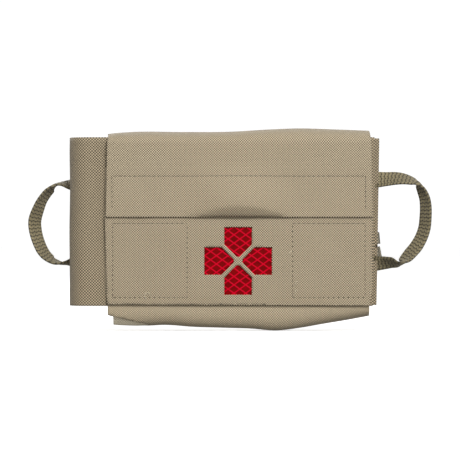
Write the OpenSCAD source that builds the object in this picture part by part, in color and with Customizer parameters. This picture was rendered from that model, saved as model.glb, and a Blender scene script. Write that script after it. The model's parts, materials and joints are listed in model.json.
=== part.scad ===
// Belt-mounted tourniquet kit: a laminate sleeve with a hook-and-loop flap, and a
// folded insert with a pull loop at each end that carries a windlass tourniquet and a gauze pack.
// Frame: X to the wearer's left as seen from the front, -Y out of the front, +Z up.
// The origin is the middle of the back panel's outer face, where the kit sits against a belt.
// Sizes are in millimetres.

/* [Fabric] */
// Thickness of the laminate fabric
fabric_t = 1.2; // [0.8:0.1:1.6]
// Thickness of a hook tape or a loop tape
tape_t = 1.4; // [1:0.1:2]
// Thickness of the elastic
elastic_t = 0.7; // [0.5:0.1:1]
// Gap between pieces that slide or swing past each other
fit_gap = 0.4; // [0.3:0.1:1]

/* [Sleeve] */
// Width of the sleeve
sleeve_w = 193; // [160:1:232]
// How far the bottom fold hangs below the insert
bottom_drop = 14; // [9:1:18]
// Height of the front wall above the middle of the sleeve
front_wall_top = 38; // [30:1:44]
// How far the liner stops short of each end of the bottom fold
liner_inset = 6; // [2:1:12]

/* [Flap] */
// How far the flap's top stands above the insert
flap_rise = 5; // [4:0.5:8]
// How far below the insert's top edge the flap bends down over the front
flap_bend_drop = 5.5; // [4:0.5:10]
// Height of the flap's lower edge above the middle of the sleeve
flap_edge_z = 3; // [0:0.5:6]
// Height of the hook tape on the flap
flap_tape_h = 25; // [15:1:30]
// How far a sewn tape stays inside the edge of its fabric
seam_margin = 4; // [2:0.5:6]

/* [Front panel] */
// Height of the front panel
panel_h = 64; // [54:1:72]
// Overall size of the cross-shaped window
cross_size = 50; // [40:1:56]
// Width of each arm of the cross
cross_arm = 20.4; // [16:0.2:24]
// Width of the fabric strips that cross between the four windows
cross_strip = 2.4; // [1.6:0.2:3.6]
// Height of the middle of the cross, below the middle of the sleeve
cross_drop = 29; // [27:0.5:31]
// Overlap of the reflective sheet behind the windows
sheet_overlap = 4; // [2:0.5:5]
// Thickness of the reflective sheet
sheet_t = 0.5; // [0.3:0.1:0.8]
// Space between the reflective sheet and the hook patches beside it
patch_gap = 6; // [3:0.5:10]

/* [Insert] */
// Length of the folded insert
insert_w = 224; // [206:1:268]
// Height of the insert
insert_h = 123; // [118:1:148]
// How far the folded end stands out of the sleeve
fold_overhang = 26; // [20:1:32]
// Length of the rounded stretch of the fold
fold_round = 14; // [10:1:18]
// How far the front cover stops short of the rear cover
cover_step = 3; // [1:0.5:6]
// Thickness of the foam pad on the rear cover
foam_t = 6.5; // [6:0.5:9]

/* [Pull loops] */
// Width of the pull webbing
pull_w = 12; // [10:0.5:12.5]
// Thickness of the pull webbing
pull_t = 1.3; // [1:0.1:1.6]
// How far the left loop reaches out of its fold line
left_reach = 22; // [18:1:28]
// How far the right loop reaches out of its fold line
right_reach = 30.5; // [24:1:37]
// Height between the two legs of a loop
pull_span = 58; // [48:1:70]
// Turn of the webbing at the outer end of a loop, in degrees
pull_turn = 50; // [20:1:50]
// Length of each leg that is sewn to the rear cover
pull_seam_l = 18; // [12:1:26]
// How far a loop's fold line is from the edge of the insert
pull_root = 3.5; // [3:0.5:5]

/* [Belt straps] */
// Width of a belt strap
strap_w = 25.4; // [20:0.1:30]
// Thickness of a belt strap
strap_t = 1.6; // [1.2:0.1:2.4]
// Length of a belt strap
strap_l = 102; // [90:1:106]
// Distance between the two straps: three columns of vest webbing
strap_pitch = 114.3; // [96:0.1:130]
// Room for a belt behind the straps
belt_room = 5.5; // [5:0.1:8]
// Outside radius of a snap
snap_r = 6.5; // [5.5:0.1:8]
// Height of the strap anchors
anchor_h = 14; // [10:1:18]

/* [Tourniquet] */
// Width of the tourniquet band
band_w = 38; // [32:0.5:40]
// Thickness of the band
band_t = 2.4; // [2:0.1:2.8]
// Length of the folded band
band_l = 152; // [138:1:160]
// Radius of the windlass rod
rod_r = 4.5; // [4:0.1:5]
// Length of the windlass rod
rod_l = 132; // [120:1:138]
// Thickness of the base plate under the windlass
plate_t = 1.8; // [1.4:0.1:2.4]
// Thickness of the buckle, which lies under the end of the rod
buckle_t = 2.2; // [1.8:0.1:2.4]
// Wall of the windlass clip
clip_wall = 2; // [1.6:0.1:2.4]
// Width of the inner tape that the windlass turns
inner_tape_w = 24; // [20:1:26]

/* [Gauze pack] */
// Length of the gauze pack
gauze_l = 126; // [110:1:140]
// Height of the gauze pack
gauze_h = 55; // [46:1:56]
// Thickness of the gauze pack
gauze_d = 21; // [16:1:22]

/* [Hidden] */

$fn = 48;
laminate = [0.66, 0.61, 0.52];
webbing = [0.42, 0.39, 0.30];
tape_black = [0.12, 0.12, 0.12];
steel = [0.35, 0.35, 0.33];
red = [0.75, 0.03, 0.08];
foliage = [0.30, 0.33, 0.28];

// Space between the snap stud and its socket
snap_gap = 0.35;
// Half of the break in a sheet at the line where it folds
fold_gap = fabric_t / 2 + 0.1;
// Half of the break between the sewn legs and the swinging part of a pull loop
pull_break = pull_t / 2 + 0.35;

// Depths, from the back panel's outer face at y = 0 towards the front
tunnel_back = -fabric_t;
pull_y = tunnel_back - fit_gap - pull_t / 2;
cover_back = tunnel_back - fit_gap - pull_t;
foam_back = cover_back - fabric_t;
stretch_back = foam_back - foam_t;
elastic_back = stretch_back - 0.9;
supply_back = elastic_back - elastic_t - fit_gap;

// Layers of the folded tourniquet, from its back
band_gap = 0.4;
band_pitch = band_t + band_gap;
stack_d = 2 * band_pitch + band_t;
plate_z = stack_d + 0.2;
deck_z = plate_z + plate_t;
inner_tape_t = 0.8;
clip_in = rod_r + 0.5;
clip_out = clip_in + clip_wall;
rod_z = deck_z + inner_tape_t + clip_in - 0.6;
time_strap_t = 0.8;
tourniquet_d = rod_z + clip_out + 0.2 + time_strap_t;
supply_d = max(tourniquet_d, gauze_d + fit_gap);

elastic_front = supply_back - supply_d - fit_gap;
cover_front = elastic_front - elastic_t - 0.3 - fabric_t;
wall_in = cover_front - fit_gap;
wall_out = wall_in - fabric_t;
panel_in = wall_out - tape_t;
panel_out = panel_in - fabric_t;
flap_tape_in = panel_in - fit_gap;
flap_in = flap_tape_in - tape_t;
flap_mid = flap_in - fabric_t / 2;

// Heights and lengths
insert_top = insert_h / 2;
back_top = insert_top;
hinge_y = -fabric_t / 2;
hinge_z = back_top + fold_gap;
bend_z = insert_top - flap_bend_drop;
panel_top = flap_edge_z + 1;
panel_bottom = panel_top - panel_h;
cross_z = -cross_drop;
sheet_size = cross_size + 2 * sheet_overlap;
insert_left = -sleeve_w / 2 - fold_overhang;
insert_right = insert_left + insert_w;
pull_left_x = insert_left - pull_root;
pull_right_x = insert_right + pull_root;
left_legs = [pull_span / 2 - 2.5, -pull_span / 2];
right_legs = [pull_span / 2 + 1, -pull_span / 2];
strap_top = 52;
strap_bottom = strap_top - strap_l;
snap_z = strap_bottom + snap_r + 1.5;
tourniquet_z = insert_top - 7 - (band_w + 8) / 2;
gauze_z = -insert_top + 3 + gauze_h / 2;

// Point on a cubic curve with the control points p
function curve_at(p, t) = pow(1 - t, 3) * p[0] + 3 * pow(1 - t, 2) * t * p[1]
    + 3 * (1 - t) * t * t * p[2] + pow(t, 3) * p[3];
function curve(p, steps) = [for (i = [0:steps]) curve_at(p, i / steps)];
function arc(centre, r, from, to, steps) =
    [for (i = [0:steps]) let (a = from + (to - from) * i / steps) centre + r * [cos(a), sin(a)]];
function unit(v) = v / norm(v);
// Direction of the path p at its point i, true to a curve at its two ends as well
function tangent(p, i) = let (n = len(p) - 1)
    unit(i == 0 ? 4 * p[1] - 3 * p[0] - p[2]
        : i == n ? 3 * p[n] - 4 * p[n - 1] + p[n - 2]
        : p[i + 1] - p[i - 1]);
// Outline of a strip of thickness t along the open path p
function strip_outline(p, t) = let (n = [for (i = [0:len(p) - 1]) [-tangent(p, i)[1], tangent(p, i)[0]]])
    concat([for (i = [0:len(p) - 1]) p[i] + n[i] * t / 2],
           [for (i = [len(p) - 1:-1:0]) p[i] - n[i] * t / 2]);

// Box from its lowest to its highest corner
module slab(low, high) translate(low) cube(high - low);

// Sheet that follows a path in the YZ plane, from x0 to x1
module sheet_along_x(path, t, x0, x1)
    translate([x0, 0, 0]) rotate([90, 0, 90]) linear_extrude(x1 - x0) polygon(strip_outline(path, t));

// Sheet that follows a path in the XY plane, from z0 to z1
module sheet_along_z(path, t, z0, z1)
    translate([0, 0, z0]) linear_extrude(z1 - z0) polygon(strip_outline(path, t));

// Cylinder along +Y from y0 to y1
module disc_y(r, x, y0, y1, z) translate([x, y0, z]) rotate([-90, 0, 0]) cylinder(r = r, h = y1 - y0);

// Ribbon of width w and thickness t through the points p, with the unit width vectors across
module ribbon(p, across, w, t) {
    corners = [for (i = [0:len(p) - 1])
        let (through = unit(cross(tangent(p, i), across[i])), a = across[i] * w / 2, b = through * t / 2)
        [p[i] + a + b, p[i] - a + b, p[i] - a - b, p[i] + a - b]];
    n = len(p);
    polyhedron(points = [for (ring = corners) for (q = ring) q],
        faces = concat([[3, 2, 1, 0]], [[for (k = [0:3]) 4 * (n - 1) + k]],
            [for (i = [0:n - 2]) for (k = [0:3]) let (m = (k + 1) % 4)
                each [[4 * i + k, 4 * i + m, 4 * i + 4 + k], [4 * i + m, 4 * i + 4 + m, 4 * i + 4 + k]]]));
}

// ---- sleeve ----

module back_panel() color(laminate)
    slab([-sleeve_w / 2, -fabric_t, -insert_top], [sleeve_w / 2, 0, back_top]);

// The low point of the bottom fold's middle line
fold_low = -insert_top - bottom_drop + fabric_t / 2;
function bottom_curve(inset) = let (dip = (8 * (fold_low + inset) + 2 * insert_top) / 6)
    [[-fabric_t / 2 - inset, -insert_top], [-fabric_t / 2 - inset, dip],
        [wall_in - fabric_t / 2 + inset, dip], [wall_in - fabric_t / 2 + inset, -insert_top]];

module bottom_fold() color(laminate)
    sheet_along_x(curve(bottom_curve(0), 24), fabric_t, -sleeve_w / 2, sleeve_w / 2);

module bottom_liner() color(laminate)
    difference() {
        sheet_along_x(curve(bottom_curve(fabric_t + 0.2), 24), fabric_t,
            -sleeve_w / 2 + liner_inset, sleeve_w / 2 - liner_inset);
        slab([-sleeve_w, wall_out - 1, -insert_top - 2], [sleeve_w, 1, 0]);
    }

module front_wall() color(laminate)
    slab([-sleeve_w / 2, wall_out, -insert_top], [sleeve_w / 2, wall_in, front_wall_top]);

// One window of the cross: an arm with a cut-off point towards the middle
module cross_window() {
    half = cross_arm / 2;
    tip = cross_strip * 0.5;
    base = tip + cross_strip / sqrt(2);
    polygon([[-tip, base], [-half, base + half - tip], [-half, cross_size / 2],
        [half, cross_size / 2], [half, base + half - tip], [tip, base]]);
}

module front_panel() color(laminate)
    difference() {
        slab([-sleeve_w / 2 - 1, panel_out, panel_bottom], [sleeve_w / 2, panel_in, panel_top]);
        for (turn = [0:90:270])
            translate([0, panel_in + 1, cross_z]) rotate([90, 0, 0]) rotate(turn)
                linear_extrude(fabric_t + 2) cross_window();
    }

module reflective_sheet() color(red)
    slab([-sheet_size / 2, panel_in, cross_z - sheet_size / 2],
        [sheet_size / 2, panel_in + sheet_t, cross_z + sheet_size / 2]);

module panel_hook_patches() color(tape_black)
    for (side = [-1, 1]) {
        x0 = sheet_size / 2 + patch_gap;
        x1 = sleeve_w / 2 - seam_margin;
        slab([min(side * x0, side * x1), panel_in, panel_bottom + seam_margin],
            [max(side * x0, side * x1), wall_out, panel_top - seam_margin]);
    }

module front_loop_tape() color(tape_black)
    slab([-sleeve_w / 2 + seam_margin, wall_out - tape_t, panel_top + 1],
        [sleeve_w / 2 - seam_margin, wall_out, front_wall_top - 2]);

module strap_anchors() color(webbing)
    for (side = [-1, 1])
        slab([side * strap_pitch / 2 - strap_w / 2, 0, strap_top - anchor_h],
            [side * strap_pitch / 2 + strap_w / 2, belt_room - 0.3, strap_top]);

module snap_studs() color(steel)
    for (side = [-1, 1]) {
        disc_y(snap_r, side * strap_pitch / 2, 0, 0.9, snap_z);
        disc_y(snap_r / 2, side * strap_pitch / 2, 0, belt_room - 2, snap_z);
    }

// ---- flap ----

module flap_top() color(laminate)
    sheet_along_x(curve([[hinge_y, hinge_z] + fold_gap * unit([-3, 2]), [-8, insert_top + flap_rise + 0.5],
        [flap_mid - 1.7, insert_top + flap_rise + 3.5], [flap_mid, bend_z + fold_gap]], 24),
        fabric_t, -sleeve_w / 2, sleeve_w / 2);

module flap_front() color(laminate)
    slab([-sleeve_w / 2, flap_mid - fabric_t / 2, flap_edge_z],
        [sleeve_w / 2, flap_mid + fabric_t / 2, bend_z - fold_gap]);

module flap_hook_tape() color(tape_black)
    slab([-sleeve_w / 2 + seam_margin, flap_in, flap_edge_z + 3],
        [sleeve_w / 2 - seam_margin, flap_tape_in, flap_edge_z + 3 + flap_tape_h]);

// ---- belt straps ----

module strap(side) color(webbing)
    slab([side * strap_pitch / 2 - strap_w / 2, belt_room, strap_bottom],
        [side * strap_pitch / 2 + strap_w / 2, belt_room + strap_t, strap_top]);

// Ring that grips the stud, open towards the back panel
module snap_socket(side) color(steel)
    difference() {
        disc_y(snap_r, side * strap_pitch / 2, 0.9 + fit_gap, belt_room, snap_z);
        disc_y(snap_r / 2 + snap_gap, side * strap_pitch / 2, 0, belt_room - 1, snap_z);
    }

// ---- insert ----

module insert_rear_cover() color(laminate)
    slab([insert_left + fold_round, foam_back, -insert_top], [insert_right, cover_back, insert_top]);

module insert_front_cover() color(laminate)
    slab([insert_left + fold_round, cover_front, -insert_top],
        [insert_right - cover_step, cover_front + fabric_t, insert_top]);

// The rounded end where the insert folds over
module insert_fold() color(laminate) {
    start = insert_left + fold_round;
    reach = start - (fold_round - fabric_t / 2) * 4 / 3;
    rear = cover_back - fabric_t / 2;
    front = cover_front + fabric_t / 2;
    sheet_along_z(curve([[start, rear], [reach, rear], [reach, front], [start, front]], 24),
        fabric_t, -insert_top, insert_top);
}

module foam_pad() color(foliage)
    slab([-sleeve_w / 2 - 4, stretch_back, -insert_top + 4], [insert_right - 9, foam_back, insert_top - 4]);

module stretch_panel() color(foliage)
    slab([-sleeve_w / 2 - 2, elastic_back, -insert_top + 3], [insert_right - 8, stretch_back, insert_top - 3]);

// Sleeve of elastic around one of the supplies, open along X
module elastic(x0, x1, z0, z1) color(foliage)
    difference() {
        slab([x0, elastic_front - elastic_t, z0 - elastic_t], [x1, elastic_back, z1 + elastic_t]);
        slab([x0 - 1, elastic_front, z0], [x1 + 1, elastic_back - elastic_t, z1]);
    }

module elastic_upper(x0, x1) {
    reach = band_w / 2 + 4.4;
    elastic(x0, x1, tourniquet_z - reach, tourniquet_z + reach);
}

module elastic_lower(x0, x1) {
    reach = gauze_h / 2 + 0.8;
    elastic(x0, x1, gauze_z - reach, gauze_z + reach);
}

module elastic_tail() color(foliage)
    slab([insert_right - 8, foam_back - 0.8, -24], [insert_right + 1.6, foam_back, -8]);

module pull_seam(x0, x1, legs) color(webbing)
    for (z = legs)
        slab([x0, pull_y - pull_t / 2, z - pull_w / 2], [x1, pull_y + pull_t / 2, z + pull_w / 2]);

module pull_seam_left()
    pull_seam(pull_left_x + pull_break, insert_left + fold_round + pull_seam_l, left_legs);

module pull_seam_right()
    pull_seam(insert_right - pull_seam_l, pull_right_x - pull_break, right_legs);

// Webbing loop that turns on its way out, so that its outer edge leans to the front
module pull_loop(x, side, reach, legs) color(webbing) {
    steps = 36;
    root = x + side * pull_break;
    out = root + side * (reach - pull_break) * 4 / 3;
    path = curve([[root, legs[0]], [out, legs[0]], [out, legs[1]], [root, legs[1]]], steps);
    turn = [for (i = [0:steps]) pull_turn * sqrt(sin(180 * i / steps))];
    ribbon([for (i = [0:steps]) [path[i][0], pull_y - pull_w / 2 * sin(turn[i]), path[i][1]]],
        [for (i = [0:steps]) let (d = tangent(path, i))
            cos(turn[i]) * side * [-d[1], 0, d[0]] + [0, -sin(turn[i]), 0]],
        pull_w, pull_t);
}

// ---- tourniquet: u along X, v along Z, and w from the back towards the front ----

// Puts a shape drawn with w as its height in the place of the folded tourniquet
module in_tourniquet() translate([0, supply_back, tourniquet_z]) rotate([90, 0, 0]) children();

// Strip that follows a path in u and w, across the band's width
module across_band(path, t, width)
    rotate([90, 0, 0]) translate([0, 0, -width / 2]) linear_extrude(width) polygon(strip_outline(path, t));

tip_l = 14;
fold_end = band_l / 2 - band_pitch / 2 - band_t / 2;

module tourniquet_band() color(tape_black) in_tourniquet()
    across_band(concat([[-fold_end, band_t / 2]],
        arc([fold_end, band_t / 2 + band_pitch / 2], band_pitch / 2, -90, 90, 8),
        arc([-fold_end, band_t / 2 + 1.5 * band_pitch], band_pitch / 2, 270, 90, 8),
        [[fold_end - 2 * tip_l, band_t / 2 + 2 * band_pitch]]), band_t, band_w);

module tourniquet_tip() color(red) in_tourniquet()
    translate([fold_end - 2 * tip_l, -band_w / 2, 2 * band_pitch]) cube([tip_l, band_w, band_t]);

// Two-slot buckle at the end of the band
module tourniquet_buckle() color(tape_black) in_tourniquet()
    translate([-band_l / 2 + 9, 0, plate_z])
        difference() {
            translate([-9, -band_w / 2 - 3, 0]) cube([22, band_w + 6, buckle_t]);
            for (u = [-5.5, 4.5])
                translate([u, -band_w / 2 + 0.5, -1]) cube([4.5, band_w - 1, buckle_t + 2]);
        }

plate_from = -band_l / 2 + 26;
plate_to = band_l / 2 - 6;

module tourniquet_plate() color(tape_black) in_tourniquet()
    translate([0, 0, plate_z]) linear_extrude(plate_t)
        difference() {
            translate([plate_from, -band_w / 2 - 1]) square([plate_to - plate_from, band_w + 2]);
            for (u = [-26, 22])
                translate([u, -inner_tape_w / 2 - 1]) square([4, inner_tape_w + 2]);
        }

// Flat tape on the plate, and the loop of it that goes through the windlass
module tourniquet_inner_tape() color(webbing) in_tourniquet() {
    translate([-24, -inner_tape_w / 2, deck_z]) cube([48, inner_tape_w, inner_tape_t]);
    side = rod_r + 2;
    low = deck_z + inner_tape_t / 2;
    translate([-inner_tape_w / 2, 0, 0]) rotate([90, 0, 90]) linear_extrude(inner_tape_w)
        difference() {
            translate([-side, low]) square([2 * side, rod_z + inner_tape_t / 2 - low]);
            translate([-side + inner_tape_t, low + inner_tape_t / 2])
                square([2 * (side - inner_tape_t), rod_z - inner_tape_t - low]);
        }
}

module tourniquet_windlass() color(tape_black) in_tourniquet()
    difference() {
        translate([-rod_l / 2, 0, rod_z]) rotate([0, 90, 0]) rotate_extrude()
            polygon(concat([[0, 0], [rod_r * 0.7, 0], [rod_r * 0.85, 2]],
                [for (i = [0:11]) each [[rod_r, 6 + 3 * i], [rod_r - 0.5, 7.5 + 3 * i]]],
                [for (i = [11:-1:0]) each [[rod_r - 0.5, rod_l - 7.5 - 3 * i], [rod_r, rod_l - 6 - 3 * i]]],
                [[rod_r * 0.85, rod_l - 2], [rod_r * 0.7, rod_l], [0, rod_l]]));
        translate([-inner_tape_w / 2 - 0.5, -rod_r - 1, rod_z - inner_tape_t / 2 - 0.5])
            cube([inner_tape_w + 1, 2 * rod_r + 2, inner_tape_t + 1]);
    }

clip_u = rod_l / 2 - 24;
clip_l = 22;

// Open ring that holds one end of the rod, on a foot that stands on the plate
module tourniquet_clip() color(tape_black) in_tourniquet()
    translate([clip_u, 0, 0]) rotate([90, 0, 90]) linear_extrude(clip_l)
        difference() {
            union() {
                translate([-band_w / 2 + 2, deck_z]) square([band_w - 4, clip_wall]);
                intersection() {
                    translate([0, rod_z]) circle(clip_out);
                    translate([-clip_out - 1, deck_z]) square([2 * clip_out + 2, 2 * clip_out + 6]);
                }
            }
            translate([0, rod_z]) circle(clip_in);
            translate([0, rod_z + rod_r * 0.2]) square([clip_out + 2, rod_r * 0.75]);
        }

// Tape that closes over the clip
module tourniquet_time_strap() color([0.8, 0.8, 0.78]) in_tourniquet() {
    top = rod_z + clip_out + 0.2 + time_strap_t / 2;
    edge = band_w / 2 - 1;
    foot = deck_z + clip_wall + time_strap_t / 2 + 0.1;
    translate([clip_u + 3, 0, 0]) rotate([90, 0, 90]) linear_extrude(clip_l - 6)
        polygon(strip_outline(concat([[-edge, foot]],
            curve([[-clip_out - 2, foot], [-clip_out, foot + 2], [-clip_out, top], [-4, top]], 8),
            curve([[4, top], [clip_out, top], [clip_out, foot + 2], [clip_out + 2, foot]], 8),
            [[edge, foot]]), time_strap_t));
}

// ---- gauze ----

// Pressed block of gauze with bevelled edges
module gauze_pack() color([0.86, 0.85, 0.80])
    translate([0, supply_back - gauze_d / 2, gauze_z])
        hull() {
            cube([gauze_l - 12, gauze_d - 6, gauze_h - 8], center = true);
            cube([gauze_l - 20, gauze_d, gauze_h - 16], center = true);
            cube([gauze_l - 16, gauze_d - 10, gauze_h - 6], center = true);
        }

// Flat sealed rim of the wrapper, around the block
module gauze_seal() color([0.86, 0.85, 0.80])
    translate([0, supply_back - gauze_d / 2, gauze_z])
        difference() {
            cube([gauze_l, 0.8, gauze_h], center = true);
            cube([gauze_l - 12, 2, gauze_h - 6], center = true);
        }

back_panel();
bottom_fold();
bottom_liner();
front_wall();
front_panel();
reflective_sheet();
panel_hook_patches();
front_loop_tape();
strap_anchors();
snap_studs();
flap_top();
flap_front();
flap_hook_tape();
strap(-1);  // strap_left
strap(1);  // strap_right
snap_socket(-1);  // snap_socket_left
snap_socket(1);  // snap_socket_right
insert_rear_cover();
insert_fold();
insert_front_cover();
foam_pad();
stretch_panel();
elastic_upper(-62, -20);  // elastic_upper_left
elastic_upper(20, 62);  // elastic_upper_right
elastic_lower(-52, -16);  // elastic_lower_left
elastic_lower(16, 52);  // elastic_lower_right
elastic_tail();
pull_seam_left();
pull_seam_right();
pull_loop(pull_left_x, -1, left_reach, left_legs);  // pull_loop_left
pull_loop(pull_right_x, 1, right_reach, right_legs);  // pull_loop_right
tourniquet_band();
tourniquet_tip();
tourniquet_buckle();
tourniquet_plate();
tourniquet_inner_tape();
tourniquet_windlass();
tourniquet_clip();
tourniquet_time_strap();
gauze_pack();
gauze_seal();
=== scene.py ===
import bpy
import json
import math
import numpy as np
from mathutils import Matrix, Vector, geometry


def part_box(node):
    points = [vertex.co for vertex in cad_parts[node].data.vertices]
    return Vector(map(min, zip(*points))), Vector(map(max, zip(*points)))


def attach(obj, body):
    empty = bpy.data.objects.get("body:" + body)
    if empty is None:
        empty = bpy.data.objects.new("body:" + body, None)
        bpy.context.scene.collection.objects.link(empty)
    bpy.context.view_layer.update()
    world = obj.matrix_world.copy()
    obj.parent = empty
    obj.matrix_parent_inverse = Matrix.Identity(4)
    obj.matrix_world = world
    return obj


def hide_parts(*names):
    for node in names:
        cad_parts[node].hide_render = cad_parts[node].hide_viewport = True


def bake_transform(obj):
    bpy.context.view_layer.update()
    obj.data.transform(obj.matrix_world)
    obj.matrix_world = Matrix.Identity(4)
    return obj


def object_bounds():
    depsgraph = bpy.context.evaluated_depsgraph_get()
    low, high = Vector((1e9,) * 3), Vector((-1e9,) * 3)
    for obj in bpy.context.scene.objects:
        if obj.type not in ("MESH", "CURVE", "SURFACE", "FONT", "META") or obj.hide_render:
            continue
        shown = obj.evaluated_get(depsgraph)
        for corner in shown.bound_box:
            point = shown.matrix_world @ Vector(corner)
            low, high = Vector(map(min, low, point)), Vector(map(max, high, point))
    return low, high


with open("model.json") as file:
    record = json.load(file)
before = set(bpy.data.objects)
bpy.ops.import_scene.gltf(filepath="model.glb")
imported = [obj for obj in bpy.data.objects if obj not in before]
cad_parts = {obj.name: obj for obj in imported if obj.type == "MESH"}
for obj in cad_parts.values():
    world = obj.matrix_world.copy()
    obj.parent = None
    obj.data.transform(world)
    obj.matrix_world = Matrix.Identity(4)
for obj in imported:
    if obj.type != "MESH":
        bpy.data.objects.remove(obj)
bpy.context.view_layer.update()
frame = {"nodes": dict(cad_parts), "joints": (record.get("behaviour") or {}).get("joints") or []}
mm = 0.001
random = np.random.default_rng(7)
print("frame loaded,", len(frame["nodes"]), "CAD nodes")


# Places, in millimetres, from the CAD nodes

def edges(node):
    low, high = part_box(node)
    return np.array(low) / mm, np.array(high) / mm


def halfway(low, high, axis=1):
    return (low[axis] + high[axis]) / 2


def jointPlace(name):
    return next(np.array(j["pos_m"]) / mm for j in frame["joints"] if j["name"] == name)


backLow, backHigh = edges("back_panel")
panelLow, panelHigh = edges("front_panel")
sheetLow, sheetHigh = edges("reflective_sheet")
rearLow, rearHigh = edges("insert_rear_cover")
wallHigh, flapHigh = edges("front_wall")[1], edges("flap_front")[1]
backMid, wallMid, panelMid, flapMid, rearMid, coverMid = (halfway(*edges(node)) for node in (
    "back_panel", "front_wall", "front_panel", "flap_front", "insert_rear_cover", "insert_front_cover"))
flapBend = jointPlace("flap_bend")
halfSleeve = backHigh[0]
insertLeft = edges("insert_fold")[0][0]
insertBottom, insertTop = rearLow[2], rearHigh[2]
fabricThick = backHigh[1] - backLow[1]


# The camera comes first

cameraSet = {"lens": 300, "sensor": 36, "across": 333.5, "aimX": -6.2, "aimZ": -6.5, "far": 50}


def addCamera():
    data = bpy.data.cameras.new("studioCamera")
    data.lens = cameraSet["lens"]
    data.sensor_width = cameraSet["sensor"]
    data.clip_end = cameraSet["far"]
    camera = bpy.data.objects.new("studioCamera", data)
    bpy.context.scene.collection.objects.link(camera)
    distance = cameraSet["across"] * cameraSet["lens"] / cameraSet["sensor"]
    camera.location = Vector((cameraSet["aimX"], panelLow[1] - distance, cameraSet["aimZ"])) * mm
    camera.rotation_euler = (math.pi / 2, 0, 0)
    bpy.context.scene.camera = camera


addCamera()


# Shader helpers

# Adds nodes to one tree and links them from left to right.
class Shader:
    def __init__(self, tree):
        self.tree = tree

    def add(self, kind, inputs=(), **settings):
        node = self.tree.nodes.new(kind)
        for name, value in settings.items():
            setattr(node, name, value)
        for key, value in dict(inputs).items():
            self.put(node.inputs[key], value)
        return node

    def put(self, socket, value):
        if isinstance(value, bpy.types.NodeSocket):
            self.tree.links.new(value, socket)
        else:
            socket.default_value = value

    def math(self, operation, a, b=0.0):
        return self.add("ShaderNodeMath", {0: a, 1: b}, operation=operation).outputs[0]

    def plus(self, a, b):
        return self.math("ADD", a, b)

    def times(self, a, b):
        return self.math("MULTIPLY", a, b)

    def wave(self, value):  # crosses zero at each whole number
        return self.math("SINE", self.times(value, math.pi))

    def mix(self, factor, a, b):
        return self.add("ShaderNodeMix", {0: factor, 6: a, 7: b}, data_type="RGBA").outputs[2]

    def noise(self, coordinate, scale, detail=2.0):
        node = self.add("ShaderNodeTexNoise", {"Vector": coordinate, "Scale": scale, "Detail": detail})
        return node.outputs["Fac"]

    def stretch(self, value, low, high, toLow=0.0, toHigh=1.0):
        return self.add("ShaderNodeMapRange", {0: value, 1: low, 2: high, 3: toLow, 4: toHigh}).outputs[0]


# A group takes a coordinate and named numbers, and puts out named values.
def newGroup(name, numbers, *outputs):
    group = bpy.data.node_groups.new(name, "ShaderNodeTree")
    group.interface.new_socket("Coordinate", in_out="INPUT", socket_type="NodeSocketVector")
    for title, value in numbers.items():
        group.interface.new_socket(title, in_out="INPUT", socket_type="NodeSocketFloat").default_value = value
    for title in outputs:
        group.interface.new_socket(title, in_out="OUTPUT", socket_type="NodeSocketFloat")
    shader = Shader(group)
    return group, shader, shader.add("NodeGroupInput").outputs, shader.add("NodeGroupOutput").inputs


def place(shader, group, **inputs):
    return shader.add("ShaderNodeGroup", inputs, node_tree=group).outputs


# Plain weave: warp and weft threads take turns on top, with gaps at their crossings darkened as painted
# shade.
def makeWeave():
    group, s, given, out = newGroup("plainWeave", {"Pitch": 0.00085, "Waver": 0.12}, "Height", "Turn", "Gap")
    drift = s.add("ShaderNodeTexNoise", {"Vector": given["Coordinate"], "Scale": 90.0, "Detail": 3.0})
    middle = (0.5, 0.5, 0.5)
    offset = s.add("ShaderNodeVectorMath", {0: drift.outputs["Color"], 1: middle}, operation="SUBTRACT")
    reach = s.times(s.times(given["Pitch"], given["Waver"]), 8.0)
    moved = s.add("ShaderNodeVectorMath", {0: offset.outputs[0], "Scale": reach}, operation="SCALE")
    spot = s.add("ShaderNodeVectorMath", {0: given["Coordinate"], 1: moved.outputs[0]}, operation="ADD")
    parts = s.add("ShaderNodeSeparateXYZ", {0: spot.outputs[0]})
    warp, weft = (s.wave(s.math("DIVIDE", parts.outputs[k], given["Pitch"])) for k in (0, 1))
    turn = s.times(warp, weft)
    size = s.math("ABSOLUTE", turn)
    s.put(out["Height"], s.plus(s.math("POWER", size, 0.6), s.times(turn, 0.35)))
    s.put(out["Turn"], turn)
    s.put(out["Gap"], s.stretch(size, 0.0, 0.3, 1.0, 0.0))
    return group


# Broad, soft changes of tone, as in dyed and handled cloth.
def makeMottle():
    group, s, given, out = newGroup("mottle", {"Broad": 22.0, "Fine": 240.0}, "Tone")
    broad = s.noise(given["Coordinate"], given["Broad"], 3.0)
    fine = s.noise(given["Coordinate"], given["Fine"], 2.0)
    s.put(out["Tone"], s.plus(s.times(broad, 0.65), s.times(fine, 0.35)))
    return group


# Woven webbing: short slanted threads in rows along the tape; the Gap output marks the grooves between them
# for painted shade.
def makeRib():
    group, s, given, out = newGroup("webbingRib", {"Row": 0.0016, "Thread": 0.0011}, "Height", "Gap")
    parts = s.add("ShaderNodeSeparateXYZ", {0: given["Coordinate"]})
    across = s.math("DIVIDE", parts.outputs[1], given["Row"])
    slant = s.times(s.math("PINGPONG", across, 1.0), 0.35)
    along = s.plus(s.math("DIVIDE", parts.outputs[0], given["Thread"]), slant)
    thread, row = (s.math("ABSOLUTE", s.wave(value)) for value in (along, across))
    height = s.times(s.math("POWER", thread, 0.6), s.plus(s.times(row, 0.5), 0.5))
    s.put(out["Height"], height)
    s.put(out["Gap"], s.stretch(height, 0.25, 0.62, 1.0, 0.0))
    return group


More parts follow.
